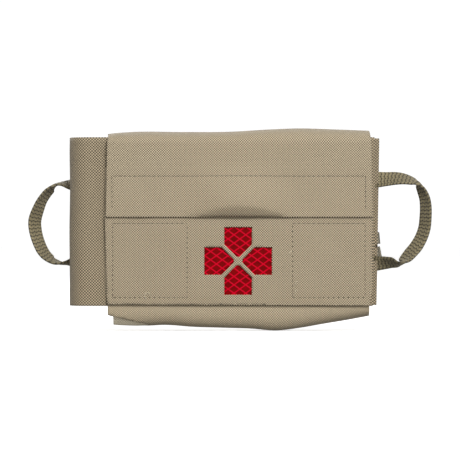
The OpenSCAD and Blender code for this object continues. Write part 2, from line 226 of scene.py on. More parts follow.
# Fine moulded or cast grain.
def makeGrain():
    group, s, given, out = newGroup("fineGrain", {"Scale": 1500.0}, "Height")
    cells = s.add("ShaderNodeTexVoronoi", {"Vector": given["Coordinate"], "Scale": given["Scale"]})
    s.put(out["Height"], s.plus(cells.outputs["Distance"], s.noise(given["Coordinate"], 300.0, 4.0)))
    return group


weaveGroup, mottleGroup, ribGroup, grainGroup = makeWeave(), makeMottle(), makeRib(), makeGrain()


def startMaterial(name, coordinate, constants):
    material = bpy.data.materials.new(name)
    material.use_nodes = True
    material.node_tree.nodes.clear()
    shader = Shader(material.node_tree)
    where = shader.add("ShaderNodeTexCoord").outputs[coordinate]
    surface = shader.add("ShaderNodeBsdfPrincipled", constants)
    shader.add("ShaderNodeOutputMaterial", {"Surface": surface.outputs[0]})
    return material, shader, where, surface


def dress(shader, surface, color, roughness, height, relief):
    bump = shader.add("ShaderNodeBump", {"Height": height, "Distance": relief, "Strength": 1.0})
    for title, value in (("Base Color", color), ("Roughness", roughness), ("Normal", bump.outputs[0])):
        shader.put(surface.inputs[title], value)


def shade(color, amount):
    return tuple(c * amount for c in color[:3]) + (1.0,)


# The colour between its darker and its lighter shade, as the value goes from low to high.
def toned(shader, value, color, dark, light, low=0.35, high=0.65):
    return shader.mix(shader.stretch(value, low, high), shade(color, dark), shade(color, light))


laminateLook = {"gapDark": 0.3, "gapShade": 0.35, "roughness": 0.62, "sunkRough": 0.2, "relief": 0.00015,
                "specular": 0.35, "sheen": 0.12, "wearScale": 35.0, "wearLeast": 0.7}


def laminateMaterial(name, color, pitch=0.0009, turn=0.8):
    look = laminateLook
    constants = {"Specular IOR Level": look["specular"], "Sheen Weight": look["sheen"]}
    material, s, where, surface = startMaterial(name, "UV", constants)
    weave = place(s, weaveGroup, Coordinate=where, Pitch=pitch)
    plain = toned(s, place(s, mottleGroup, Coordinate=where)["Tone"], color, 0.93, 1.07)
    crossed = toned(s, weave["Turn"], color, 1 - turn, 1 + turn, -0.3, 0.3)
    worn = place(s, mottleGroup, Coordinate=where, Broad=look["wearScale"])["Tone"]
    threads = s.mix(s.stretch(worn, 0.35, 0.65, look["wearLeast"], 1.0), plain, crossed)
    # Painted shade: the weave's gaps are darkened towards gapShade.
    gaps = s.times(weave["Gap"], look["gapDark"])
    dress(s, surface, s.mix(gaps, threads, shade(color, look["gapShade"])),
          s.stretch(weave["Height"], 0, 1, look["roughness"] + look["sunkRough"], look["roughness"]),
          weave["Height"], look["relief"])
    return material


webbingLook = {"gapDark": 0.95, "gapShade": 0.12, "roughness": 0.55, "sunkRough": 0.3, "sheen": 0.1,
               "mottleScale": 60.0}


def webbingMaterial(name, color, row=0.0016, thread=0.0017, relief=0.0004):
    look = webbingLook
    material, s, where, surface = startMaterial(name, "UV", {"Sheen Weight": look["sheen"]})
    rib = place(s, ribGroup, Coordinate=where, Row=row, Thread=thread)
    tone = place(s, mottleGroup, Coordinate=where, Broad=look["mottleScale"])["Tone"]
    # Painted shade: the grooves between the ribs are darkened towards gapShade.
    plain, gaps = toned(s, tone, color, 0.82, 1.18), s.times(rib["Gap"], look["gapDark"])
    dress(s, surface, s.mix(gaps, plain, shade(color, look["gapShade"])),
          s.stretch(rib["Height"], 0, 1, look["roughness"] + look["sunkRough"], look["roughness"]),
          rib["Height"], relief)
    return material


def grainMaterial(name, color, roughness=0.5, scale=1500.0, relief=0.00008, metal=0.0, spread=0.15):
    material, s, where, surface = startMaterial(name, "Object", {"Metallic": metal})
    grain = place(s, grainGroup, Coordinate=where, Scale=scale)["Height"]
    tone = place(s, mottleGroup, Coordinate=where, Broad=120.0, Fine=900.0)["Tone"]
    dress(s, surface, toned(s, tone, color, 1 - spread, 1 + spread, 0.3, 0.7),
          s.stretch(tone, 0.3, 0.7, roughness - 0.06, roughness + 0.08), grain, relief)
    return material


latticeLook = {"size": (8.5, 6.05), "start": (0.9, -13.1), "line": 0.085, "relief": 0.0002, "specular": 0.04,
               "bright": (0.52, 0.0, 0.014), "cell": (0.16, 0.0, 0.001)}


# Red prism sheet: dark diamond cells between bright welded lines.
def latticeMaterial():
    look = latticeLook
    constants = {"Specular IOR Level": look["specular"]}
    material, s, where, surface = startMaterial("redLattice", "UV", constants)
    parts = s.add("ShaderNodeSeparateXYZ", {0: where})
    away = [s.math("SUBTRACT", parts.outputs[k], look["start"][k] * mm) for k in (0, 1)]
    across, down = (s.math("DIVIDE", away[k], look["size"][k] * mm) for k in (0, 1))
    far = 40.0  # keeps the diagonals above zero
    diagonals = [s.plus(s.math(sign, across, down), far) for sign in ("ADD", "SUBTRACT")]
    slants = [s.math("PINGPONG", diagonal, 0.5) for diagonal in diagonals]
    line = s.stretch(s.math("MINIMUM", *slants), look["line"] * 0.5, look["line"] * 1.7, 1.0, 0.0)
    tone = place(s, mottleGroup, Coordinate=where, Broad=160.0, Fine=1500.0)["Tone"]
    cells = toned(s, tone, look["cell"], 0.6, 1.4, 0.3, 0.7)
    dress(s, surface, s.mix(line, cells, shade(look["bright"], 1.0)), s.stretch(line, 0, 1, 0.45, 0.6), line,
          look["relief"])
    return material


# Colours are linear reflectances.
tan = (0.312, 0.256, 0.171)
# Painted shade: the insert's laminate is the tan made darker, standing in for the shade on the recessed,
# turned insert.
shadedTan = (0.249, 0.199, 0.127)
paint = {
    "flapCloth": laminateMaterial("flapCloth", shade(tan, 1.03)),
    "panelCloth": laminateMaterial("panelCloth", tan),
    # Painted light: the sleeve sheet is the tan made 1.2 times lighter, so that its downward-facing bottom
    # bend does not render darker than the panel.
    "foldCloth": laminateMaterial("foldCloth", shade(tan, 1.2), turn=0.6),
    # Partly the paler coated inner side, partly painted light lifting the strip that lies in shade under the
    # shell's free edge.
    "linerCloth": laminateMaterial("linerCloth", (0.93, 0.83, 0.63), turn=0.3),
    "insertCloth": laminateMaterial("insertCloth", shadedTan, 0.00105, 0.9),
    "webbing": webbingMaterial("oliveWebbing", (0.205, 0.17, 0.092), 0.0020, 0.0027, 0.0006),
    "bandCloth": webbingMaterial("blackBand", (0.02, 0.02, 0.021), 0.0012, 0.0009),
    "tipCloth": webbingMaterial("redBandTip", (0.5, 0.02, 0.02), 0.0012, 0.0009),
    "timeCloth": webbingMaterial("whiteTape", (0.66, 0.66, 0.62), 0.0010, 0.0008, 0.00015),
    "elastic": webbingMaterial("greyElastic", (0.21, 0.19, 0.14), 0.0010, 0.0016),
    # Painted shade: the tan stitching thread is coloured nearly black to stand in for the shade in its dips
    # and needle holes.
    "thread": grainMaterial("shadedTanThread", (0.06, 0.045, 0.028), 0.6, 2500.0),
    "paleThread": grainMaterial("paleThread", (0.46, 0.40, 0.29), 0.6, 2500.0),
    # Painted shade: dark discs put at the needle holes, where there is only shade.
    "needleHoleShade": grainMaterial("needleHoleShade", (0.035, 0.026, 0.018), 0.9),
    "hookTape": grainMaterial("hookTape", (0.13, 0.105, 0.07), 0.55, 1200.0, 0.0003),
    "loopTape": grainMaterial("loopTape", (0.17, 0.145, 0.10), 0.95, 900.0, 0.0006),
    "snapMetal": grainMaterial("blackSnap", (0.03, 0.03, 0.028), 0.35, 700.0, 0.00003, 0.9),
    "foam": grainMaterial("closedFoam", (0.10, 0.11, 0.09), 0.85, 1400.0, 0.00015),
    "stretch": webbingMaterial("stretchKnit", (0.075, 0.088, 0.066), 0.0009, 0.0007, 0.0001),
    "plastic": grainMaterial("blackMoulding", (0.018, 0.018, 0.019), 0.45, 1800.0, 0.00005),
    "wrapper": grainMaterial("wrapperFilm", (0.60, 0.58, 0.50), 0.3, 260.0, 0.0006),
    "lattice": latticeMaterial(),
}
print("materials made:", len(paint))


# Meshes

def unit(vectors):
    return vectors / np.maximum(np.linalg.norm(vectors, axis=-1, keepdims=True), 1e-9)


def lengthTable(points):  # distance travelled at each point of a line
    return np.concatenate([[0], np.cumsum(np.linalg.norm(np.diff(points, axis=0), axis=1))])


# points in millimetres; uv is one pair in metres for each point.
def makeObject(name, points, faces, materials, uv=None, indices=None):
    mesh = bpy.data.meshes.new(name)
    mesh.from_pydata((np.asarray(points, float) * mm).tolist(), [], [list(map(int, f)) for f in faces])
    for material in materials if isinstance(materials, list) else [materials]:
        mesh.materials.append(material)
    if indices is not None:
        mesh.polygons.foreach_set("material_index", np.asarray(indices, np.int32))
    if uv is not None:
        layer = mesh.uv_layers.new(name="cloth")
        loops = np.zeros(len(mesh.loops), np.int32)
        mesh.loops.foreach_get("vertex_index", loops)
        layer.data.foreach_set("uv", np.asarray(uv, np.float32)[loops].ravel())
    mesh.shade_smooth()
    mesh.validate()
    mesh.update()
    piece = bpy.data.objects.new(name, mesh)
    bpy.context.scene.collection.objects.link(piece)
    return piece


# Which points lie inside a closed outline.
def inside(points, outline):
    x, y = points[:, 0], points[:, 1]
    hit = np.zeros(len(points), bool)
    for (x0, y0), (x1, y1) in zip(outline, outline[1:] + outline[:1]):
        if y1 != y0:
            hit ^= ((y0 > y) != (y1 > y)) & (x < (x1 - x0) * (y - y0) / (y1 - y0) + x0)
    return hit


# The same outline with points no further apart than step.
def spaced(outline, step, closed=True):
    points = []
    ends = outline[1:] + outline[:1] if closed else outline[1:]
    for a, b in zip(outline, ends):
        count = max(1, math.ceil(math.dist(a, b) / step))
        points += [(a[0] + (b[0] - a[0]) * i / count, a[1] + (b[1] - a[1]) * i / count) for i in range(count)]
    return points if closed else points + [outline[-1]]


def surfaceNormals(shape, u, v):
    reach = 0.05
    across = shape(u + reach, v) - shape(u - reach, v)
    down = shape(u, v + reach) - shape(u, v - reach)
    return unit(np.cross(across, down))


# A cut piece of cloth. The outline and the holes are flat, and shape bends the cut into place.
def clothPanel(name, outline, shape, material, step, thick, holes=()):
    rings = [spaced(list(r), step) for r in (outline, *holes)]

    def onCloth(spots):  # inside the outline and outside the holes
        return np.logical_xor.reduce([inside(spots, ring) for ring in rings])

    low, high = np.min(rings[0], axis=0), np.max(rings[0], axis=0)
    grid = [np.arange(a + step / 2, b, step) for a, b in zip(low, high)]
    inner = np.stack(np.meshgrid(*grid), -1).reshape(-1, 2)
    keep = onCloth(inner)
    points, lines = [], []
    for ring in rings:
        start = len(points)
        lines += [(start + i, start + (i + 1) % len(ring)) for i in range(len(ring))]
        points += ring
        ring = np.array(ring)
        for i in range(0, len(ring), 64):  # in lots, to save memory
            keep &= np.linalg.norm(inner[:, None] - ring[None, i:i + 64], axis=2).min(1) > step * 0.45
    points += [tuple(p) for p in inner[keep]]
    made = geometry.delaunay_2d_cdt([Vector(p) for p in points], lines, [], 0, 1e-5)
    flat = np.array([tuple(p) for p in made[0]])
    faces = np.array([f for f in made[2] if len(f) == 3])
    faces = faces[onCloth(flat[faces].mean(1))]
    a, b, c = (flat[faces[:, k]] for k in range(3))
    turned = np.cross(b - a, c - a) < 0
    faces[turned] = faces[turned][:, ::-1]
    count = len(flat)
    pairs = dict.fromkeys((f[k], f[(k + 1) % 3]) for f in faces for k in range(3))
    rim = [(i, j) for i, j in pairs if (j, i) not in pairs]
    rimPoints = sorted({i for e in rim for i in e})
    outward = {i: np.zeros(2) for i in rimPoints}
    for i, j in rim:
        along = flat[j] - flat[i]
        for k in (i, j):
            outward[k] = outward[k] + unit(np.array([along[1], -along[0]]))
    swell = thick * 0.18
    rimFlat = np.array([flat[i] + unit(outward[i]) * swell for i in rimPoints])
    middle = {i: 2 * count + k for k, i in enumerate(rimPoints)}
    u, v = flat[:, 0], flat[:, 1]
    centre, through = shape(u, v), surfaceNormals(shape, u, v) * thick / 2
    allPoints = np.vstack([centre + through, centre - through, shape(rimFlat[:, 0], rimFlat[:, 1])])
    allFaces = [tuple(f) for f in faces] + [tuple(f[::-1] + count) for f in faces]
    for i, j in rim:
        allFaces += [(j, i, middle[i], middle[j]), (middle[j], middle[i], i + count, j + count)]
    return makeObject(name, allPoints, allFaces, material, np.vstack([flat, flat, flat[rimPoints]]) * mm)


# A strap of rounded section along a list of centres, with the width direction at each or one for all.
def ribbon(name, centres, across, width, thick, material, closed=False, sides=5, cup=None):
    centres = np.array(centres, float)
    count = len(centres)
    along = (np.roll(centres, -1, 0) - np.roll(centres, 1, 0)) if closed else np.gradient(centres, axis=0)
    along = unit(along)
    across = np.broadcast_to(np.array(across, float), centres.shape)
    across = unit(across - (across * along).sum(1)[:, None] * along)
    through = np.cross(along, across)
    half, flatHalf, edge = width / 2, width / 2 - thick * 0.25, 0.18 * thick
    lanes = np.linspace(-1, 1, sides * 2 + 1)
    section = [(w * flatHalf, 0.5 * thick) for w in lanes] + [(half, edge), (half, -edge)]
    section += [(w * flatHalf, -0.5 * thick) for w in lanes[::-1]] + [(-half, -edge), (-half, edge)]
    cup = np.zeros(count) if cup is None else cup(through)
    arch = [0.6 - (2 * a / width) ** 2 for a, _ in section]
    points = [centres[i] + a * across[i] + (b + cup[i] * h) * through[i]
              for i in range(count) for (a, b), h in zip(section, arch)]
    n = len(section)
    travelled = lengthTable(centres)
    uv = np.array([(travelled[i] * mm, a * mm) for i in range(count) for a, _ in section])
    faces = []
    for i in range(count if closed else count - 1):
        j = (i + 1) % count
        faces += [(i * n + k, i * n + (k + 1) % n, j * n + (k + 1) % n, j * n + k) for k in range(n)]
    if not closed:
        faces += [tuple(range(n))[::-1], tuple((count - 1) * n + k for k in range(n))]
    return makeObject(name, points, faces, material, uv)


stitchSet = {"pitch": 3.5, "length": 2.0, "radius": 0.24, "uneven": 0.15, "hole": 2.1, "sides": 6}


# A sewn row on a surface: one short arched thread for each stitch, and a dark disc of painted shade at the
# needle hole at each end.
def stitches(name, path, shape, lift, pitch=stitchSet["pitch"], length=stitchSet["length"], side=1):
    radius, n = stitchSet["radius"], stitchSet["sides"]
    path = np.array(path, float)
    travelled = lengthTable(path)
    total = travelled[-1]
    count = max(1, int(total / pitch))
    points, faces, kinds = [], [], []
    turns = np.linspace(0, 2 * math.pi, n, endpoint=False)
    share = np.linspace(0, 1, n)
    rise = lift - radius * 0.4 + radius * 0.9 * np.sin(share * math.pi)
    slim = radius * (0.55 + 0.45 * np.sin(share * math.pi) ** 0.5)

    def band(base):  # faces between one ring of points and the next
        return [(base + j, base + (j + 1) % n, base + n + (j + 1) % n, base + n + j) for j in range(n)]

    for k in range(count):
        start = (k + 0.2) * total / count + random.uniform(-stitchSet["uneven"], stitchSet["uneven"])
        reach = np.clip(start + share * length, 0, total)
        u, v = (np.interp(reach, travelled, path[:, axis]) for axis in (0, 1))
        at, normal = shape(u, v), surfaceNormals(shape, u, v) * side
        along = unit(at[-1] - at[0])
        base = len(points)
        for i in range(n):
            sideways = np.cross(along, normal[i]) * slim[i]
            points += [at[i] + normal[i] * (rise[i] + slim[i] * math.sin(a)) + sideways * math.cos(a)
                       for a in turns]
        for i in range(n - 1):
            faces += band(base + i * n)
        faces += [tuple(base + j for j in range(n))[::-1], tuple(base + n * (n - 1) + j for j in range(n))]
        kinds += [0] * (n * (n - 1) + 2)
        for end, back in ((0, -1), (-1, 1)):
            base = len(points)
            middle = at[end] + along * back * radius * 0.9
            sideways = np.cross(along, normal[end])
            hole = [(along * math.cos(a) * 1.3 + sideways * math.sin(a)) * radius * stitchSet["hole"]
                    for a in turns]
            for height, grow in ((lift + 0.03, 0.5), (lift - 0.25, 0.9)):
                points += [middle + normal[end] * height + away * grow for away in hole]
            faces += [tuple(base + j for j in range(n)), tuple(base + n + j for j in range(n))[::-1]]
            faces += [face[::-1] for face in band(base)]
            kinds += [1] * (n + 2)
    return makeObject(name, points, faces, [paint["thread"], paint["needleHoleShade"]], None, kinds)


def weights(t):  # shares of the four points of a cubic curve
    return (1 - t) ** 3, 3 * (1 - t) ** 2 * t, 3 * (1 - t) * t ** 2, t ** 3


# A smooth line through (place, value) pairs.
def smoothCurve(x, places):
    xs, ys = np.array(places, float).T
    slopes = np.gradient(ys, xs)
    x = np.clip(x, xs[0], xs[-1])
    k = np.clip(np.searchsorted(xs, x) - 1, 0, len(xs) - 2)
    h = xs[k + 1] - xs[k]
    t = (x - xs[k]) / h
    return ((2 * t ** 3 - 3 * t ** 2 + 1) * ys[k] + (t ** 3 - 2 * t ** 2 + t) * h * slopes[k]
            + (3 * t ** 2 - 2 * t ** 3) * ys[k + 1] + (t ** 3 - t ** 2) * h * slopes[k + 1])


# 1 at the middle, falling smoothly to 0 at the two sides.
def hump(x, middle, half):
    t = np.clip(np.abs(x - middle) / half, 0, 1)
    return (1 - t * t) ** 2


def box(x0, z0, x1, z1):
    return [(x0, z0), (x1, z0), (x1, z1), (x0, z1)]


def ringOf(*corners):
    return [*box(*corners), corners[:2]]


def nodeCut(low, high):  # a node's front outline
    return box(low[0], low[2], high[0], high[2])


def throughPoints(points, steps=5):  # a smooth line through the points
    p = np.array(points, float)
    p = np.vstack([2 * p[0] - p[1], p, 2 * p[-1] - p[-2]])
    made = []
    for i in range(1, len(p) - 2):
        for t in np.arange(steps) / steps:
            made.append(0.5 * (2 * p[i] + (p[i + 1] - p[i - 1]) * t
                               + (2 * p[i - 1] - 5 * p[i] + 4 * p[i + 1] - p[i + 2]) * t * t
                               + (3 * p[i] - p[i - 1] - 3 * p[i + 1] + p[i + 2]) * t ** 3))
    return np.array(made + [p[-2]])


def column(x, y, z):
    return np.stack(np.broadcast_arrays(np.asarray(x, float), y, z), -1)


def flatAt(y):
    return lambda u, v: column(u, y, v)


# Turned piece about an axis along +Y: profile pairs are radius and depth.
def turned(name, profile, centre, material, sides=40):
    angles = np.linspace(0, 2 * math.pi, sides, endpoint=False)
    x, z = centre
    points = [(x + r * math.cos(a), y, z + r * math.sin(a)) for r, y in profile for a in angles]
    last = (len(profile) - 1) * sides
    faces = [(i + j, i + (j + 1) % sides, i + sides + (j + 1) % sides, i + sides + j)
             for i in range(0, last, sides) for j in range(sides)]
    faces += [tuple(range(sides))[::-1], tuple(last + j for j in range(sides))]
    return makeObject(name, points, faces, material)


# Gentle unevenness of sewn cloth, the same at every run.
def ripple(u, v, size, height, turn=0.0):
    a, b = u / size + turn, v / size - turn
    return height * (np.sin(a * 1.3 + np.sin(b * 1.1)) * np.cos(b * 0.9 - 0.4 * np.sin(a * 0.7))
                     + 0.4 * np.sin(a * 2.9 + b * 2.3))


# How far sewn rows draw the cloth in at a point.
def pressedIn(u, v, rows, width=1.3, depth=0.28):
    drawn = np.zeros(np.shape(u))
    for row in rows:
        for (x0, y0), (x1, y1) in zip(row, row[1:]):
            dx, dy = x1 - x0, y1 - y0
            t = np.clip(((u - x0) * dx + (v - y0) * dy) / (dx * dx + dy * dy), 0, 1)
            away = np.hypot(u - x0 - t * dx, v - y0 - t * dy)
            drawn = np.maximum(drawn, depth * np.exp(-(away / width) ** 2))
    return drawn


# Attaches a piece to the body that it moves with and hides the CAD nodes that it stands for; the slot is not
# used.
# A pair of bodies, with the places in millimetres where the first ends and the second begins, leaves the
# piece where it is.
def finishPiece(piece, body, slot, *nodes):
    if isinstance(body, str):
        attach(piece, body)
    else:
        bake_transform(piece)
    if nodes:
        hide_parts(*nodes)
    return piece


# A sheet of cloth; how it is held and what it lies on are given but not used.
def layCloth(name, cut, shape, cloth, step, thick, held, restsOn, body, slot, *nodes, holes=()):
    piece = clothPanel(name, cut, shape, paint[cloth], step, thick, holes)
    return finishPiece(piece, body, slot, *nodes)


def sewRow(name, path, shape, body, slot, lift=fabricThick / 2, **settings):
    finishPiece(stitches(name, path, shape, lift, **settings), body, slot)


# Sleeve: one sheet runs down the back, under the bottom and up the front

sleeveSet = {
    "bottomLine": [(-98, -75.2), (-88, -76), (-74, -76.5), (-52, -75.6), (-34, -76.9), (-12, -77.6),
                   (10, -78.3), (27, -79.6), (45, -77.6), (62, -74.7), (79, -71.9), (98, -68.3)],
    "freeEdge": [(-98.5, -68.0), (-91, -69.2), (-78.7, -72.0), (-69, -73.9), (-60, -75.9)],
    "rearDrop": 5.0, "frontSwell": 2.6, "bottomNarrow": 1.7, "rearShare": 0.2, "frontShare": 0.62,
    "step": 2.2, "stitchIn": 4, "linerGap": 1.3, "linerBack": 5.0, "linerTrim": 5.5, "linerThick": 1.0,
    "linerMeets": -68, "linerReach": 8}
bendTop = insertBottom


# A point on the bottom bend: share 0 is at the back panel and 1 at the front wall.
def bottomPoint(x, share, inset=0.0):
    rise = inset * np.clip((x - sleeveSet["linerMeets"]) / sleeveSet["linerReach"], 0.1, 1)
    low = smoothCurve(x, sleeveSet["bottomLine"]) + fabricThick / 2 + rise - bendTop
    rear, fore = backMid - inset, wallMid + (sleeveSet["linerBack"] if inset else 0)
    drop = -sleeveSet["rearDrop"]
    deep = (low - 0.2222 * drop) / 0.4444  # puts the curve's lowest point, near share 2/3, at the bottom line
    a, b, c, d = weights(share)
    y = (a + b) * rear + c * (fore - sleeveSet["frontSwell"]) + d * fore
    return column(x, y, bendTop + b * drop + c * deep)


shares = np.linspace(0, 1, 200)
bendLengths = lengthTable(bottomPoint(np.zeros(200), shares))
backTall, wallTall = backHigh[2] - bendTop, wallHigh[2] - bendTop
bendStart, bendEnd = backTall, backTall + bendLengths[-1]


def sleeveShape(u, v, inset=0.0):
    u, v = np.broadcast_arrays(np.asarray(u, float), np.asarray(v, float))
    bend = bottomPoint(u, np.interp(v - bendStart, bendLengths, shares), inset)
    rear = column(u, backMid - inset, backHigh[2] - v)
    fore = column(u, wallMid + inset, bendTop + (v - bendEnd))
    return np.where((v < bendStart)[..., None], rear, np.where((v > bendEnd)[..., None], fore, bend))


def notchPlace(x, z):  # where on the cut the front half of the bend has height z
    v = np.linspace(bendStart + sleeveSet["frontShare"] * (bendEnd - bendStart), bendEnd, 300)
    heights = sleeveShape(np.full(300, x), v)[:, 2]
    return float(v[np.argmin(np.abs(heights - z))])


def buildSleeve():
    edge, low = halfSleeve, halfSleeve - sleeveSet["bottomNarrow"]
    linerHalf = edge - sleeveSet["linerTrim"]
    rearEdge = bendStart + sleeveSet["rearShare"] * (bendEnd - bendStart)
    notch = [(x, notchPlace(x, z)) for x, z in sleeveSet["freeEdge"]]
    outline = [(-edge, 0), (edge, 0), (edge, bendStart - 8), (low, bendStart + 4), (low, bendEnd),
               (edge, bendEnd + 12), (edge, bendEnd + wallTall), (-edge, bendEnd + wallTall),
               (-edge, bendEnd + 12), (-low, bendEnd), (-low, notch[0][1]), *notch[1:],
               (-linerHalf, rearEdge + 9), (-linerHalf, rearEdge), (-low, rearEdge), (-low, bendStart + 4),
               (-edge, bendStart - 8)]
    step, thick = sleeveSet["step"], sleeveSet["linerThick"]
    shell = layCloth("sleeveShell", outline, sleeveShape, "foldCloth", step, fabricThick, "folded",
                     ["insertShell"], "sleeve", "laminate", "back_panel", "bottom_fold", "front_wall")
    linerCut = box(-linerHalf, bendStart + 3, linerHalf, bendEnd - 2.5)
    layCloth("bottomLiner", linerCut, lambda u, v: sleeveShape(u, v, sleeveSet["linerGap"]), "linerCloth",
             step, thick, "folded", [shell], "sleeve", "laminate", "bottom_liner")
    top, side, foot = sleeveSet["stitchIn"], edge - sleeveSet["stitchIn"], bendStart - 3
    rows = [(-side, top), (-side, foot)], [(side, top), (side, foot)], [(-side, top), (side, top)]
    for i, row in enumerate(rows):
        sewRow(f"backStitches{i}", row, sleeveShape, "sleeve", "laminate")


# Front panel with the cross: four windows that leave a narrow X of cloth

panelSet = {"outline": [(-95.0, -60.3), (95.0, -61.2), (97.0, 4), (-97.0, 4)], "step": 1.5, "puff": 0.35,
            "cross": 49.4, "crossX": -0.35, "arm": 20.4, "strip": 2.4, "edgeReach": 8, "crossNear": 24,
            "crossReach": 12,
            "leftBox": (-91.2, -55.5, -37.3, -1.7), "rightBox": (39.2, -55.5, 91.7, -1.7),
            "patchNear": 35, "patchFar": 92.5, "patchFoot": -56, "patchGap": 0.75, "tapeStitch": 2.5,
            "threadEnds": [(-66.3, -54.6, 4.2), (38.0, -23.2, 2.0), (42.2, -45.2, 2.2), (42.0, -51.0, 1.8)]}
crossZ = halfway(sheetLow, sheetHigh, 2)
patchRows = [ringOf(*panelSet["leftBox"]), ringOf(*panelSet["rightBox"])]


def crossWindow(turn):
    half, tip = panelSet["arm"] / 2, panelSet["strip"] * 0.5
    base, top = tip + panelSet["strip"] / math.sqrt(2), panelSet["cross"] / 2
    points = [(-tip, base), (tip, base), (half, base + half - tip), (half, top), (-half, top),
              (-half, base + half - tip)]
    c, s = math.cos(turn), math.sin(turn)
    return [(x * c - y * s + panelSet["crossX"], x * s + y * c + crossZ) for x, y in points]


def panelShape(u, v):
    u, v = np.broadcast_arrays(np.asarray(u, float), np.asarray(v, float))
    flatEdge = np.clip(np.minimum.reduce([u + 97, 97 - u, v + 61, 4 - v]) / panelSet["edgeReach"], 0, 1)
    away = np.hypot(u, v - crossZ) - panelSet["crossNear"]
    nearCross = np.clip(away / panelSet["crossReach"], 0.25, 1)
    rise = panelSet["puff"] + ripple(u, v, 15, 0.22)
    return column(u, panelMid - rise * flatEdge * nearCross + pressedIn(u, v, patchRows) * 0.8, v)


def buildPanel():
    windows = [crossWindow(k * math.pi / 2) for k in range(4)]
    panel = layCloth("frontPanel", panelSet["outline"], panelShape, "panelCloth", panelSet["step"],
                     fabricThick, "laid", ["front_panel"], "sleeve", "laminate", "front_panel", holes=windows)
    for i, row in enumerate(patchRows):
        sewRow(f"patchStitches{i}", row, panelShape, "sleeve", "laminate")
    for i, (x, z, size) in enumerate(panelSet["threadEnds"]):  # loose ends, curled on the cloth
        turn = np.linspace(0.6, 4.6, 16)
        reach = size * (0.62 - turn / 16)
        curl = panelShape(x + reach * np.cos(turn), z + reach * np.sin(turn) * 1.2)
        curl[:, 1] -= fabricThick / 2 + 0.25 + 0.25 * np.sin(turn * 0.8) ** 2
        end = ribbon(f"threadEnd{i}", curl, (0, 1, 0), 0.5, 0.5, paint["paleThread"], sides=2)
        finishPiece(end, "sleeve", "laminate")
    layCloth("reflectiveSheet", nodeCut(sheetLow, sheetHigh), flatAt(halfway(sheetLow, sheetHigh)), "lattice",
             3, 0.5, "laid", [panel], "sleeve", "reflective", "reflective_sheet")
    near, far, foot = panelSet["patchNear"], panelSet["patchFar"], panelSet["patchFoot"]
    behind = flatAt(panelHigh[1] + panelSet["patchGap"])
    patches = ("patchLeft", -far, -near, ["panel_hook_patches"]), ("patchRight", near, far, [])
    for name, left, right, nodes in patches:
        layCloth(name, box(left, foot, right, 0), behind, "hookTape", 4, 1.2, "laid", [panel], "sleeve",
                 "hook_tape", *nodes)
    low, high = edges("front_loop_tape")
    tapeMid, trim = halfway(low, high), panelSet["tapeStitch"]
    layCloth("frontLoopTape", nodeCut(low, high), lambda u, v: column(u, tapeMid + ripple(u, v, 9, 0.04), v),
             "loopTape", 3, 1.3, "laid", ["sleeveShell"], "sleeve", "loop_tape", "front_loop_tape")
    rows = ringOf(low[0] + trim, low[2] + trim, high[0] - trim, high[2] - trim)
    sewRow("loopTapeStitches", rows, flatAt(tapeMid), "sleeve", "loop_tape", 0.65)


# Flap: the cut's height runs up the front, over the roof and down to the back panel

flapSet = {
    "crest": [(-98, 63.2), (-91.7, 64), (-80, 64.9), (-40, 65), (-6, 65.2), (23, 66.8), (44, 67.5),
              (70, 66.8), (98, 65.8)],
    "bulge": 6.6, "bulgeHalf": 43, "bulgeMiddle": 0.5, "bulgeTop": 44, "bulgeFoot": 2.2, "bulgeRise": 5.8,
    "lowEdge": 2.9, "seamBack": 20.0, "lap": 1.2, "step": 1.6, "stitchLength": 1.9, "roofBack": -8,
    "roofFront": 1.7, "roofTilt": 3, "looseTop": 50, "looseReach": 20, "looseSide": 97, "sideReach": 10}
flapRows = [[(-91.7, 8.7), (-91.7, 32.6), (92.1, 32.6), (92.1, 8.7)]]


# Share 0 is at the back panel and 1 at the bend over the front; lift makes the top meet the crest line.
def flapRoofPoint(x, share):
    lift = (smoothCurve(x, flapSet["crest"]) - fabricThick / 2 - 17.73) / 0.72
    a, b, c, d = weights(share)
    y = a * backMid + b * flapSet["roofBack"] + c * (flapMid - flapSet["roofFront"]) + d * flapMid
    z = a * backHigh[2] + b * lift + c * (lift + flapSet["roofTilt"]) + d * flapBend[2]
    return column(x, y, z)


roofLengths = lengthTable(flapRoofPoint(np.zeros(200), shares)[::-1])
frontTall = flapBend[2] - flapSet["lowEdge"]
flapTall = frontTall + roofLengths[-1]


def flapBulge(x, z):  # how far the lower edge curls out
    across = hump(x, flapSet["bulgeMiddle"], flapSet["bulgeHalf"])
    top = flapSet["lowEdge"] + flapSet["bulgeFoot"] + flapSet["bulgeRise"] * across
    above = np.clip((flapSet["bulgeTop"] - z) / np.maximum(flapSet["bulgeTop"] - top, 1), 0, 1)
    below = np.clip((z - flapSet["lowEdge"]) / np.maximum(top - flapSet["lowEdge"], 0.5), 0, 1)
    swell = above * above * (3 - 2 * above)
    return flapSet["bulge"] * across * swell * (0.1 + 0.9 * below ** 0.85)


def flapShape(u, v, inset=0.0):
    u, v = np.broadcast_arrays(np.asarray(u, float), np.asarray(v, float))
    z = flapSet["lowEdge"] + v
    loose = np.clip((flapSet["looseTop"] - z) / flapSet["looseReach"], 0, 1)
    loose = loose * np.clip((flapSet["looseSide"] - np.abs(u)) / flapSet["sideReach"], 0, 1)
    y = flapMid + inset - flapBulge(u, z) - ripple(u, z, 17, 0.22, 1.3) * loose
    y = y + pressedIn(u, z, flapRows) * 0.8
    roof = flapRoofPoint(u, 1 - np.interp(v - frontTall, roofLengths, shares))
    return np.where((v > frontTall)[..., None], roof, column(u, y, z))


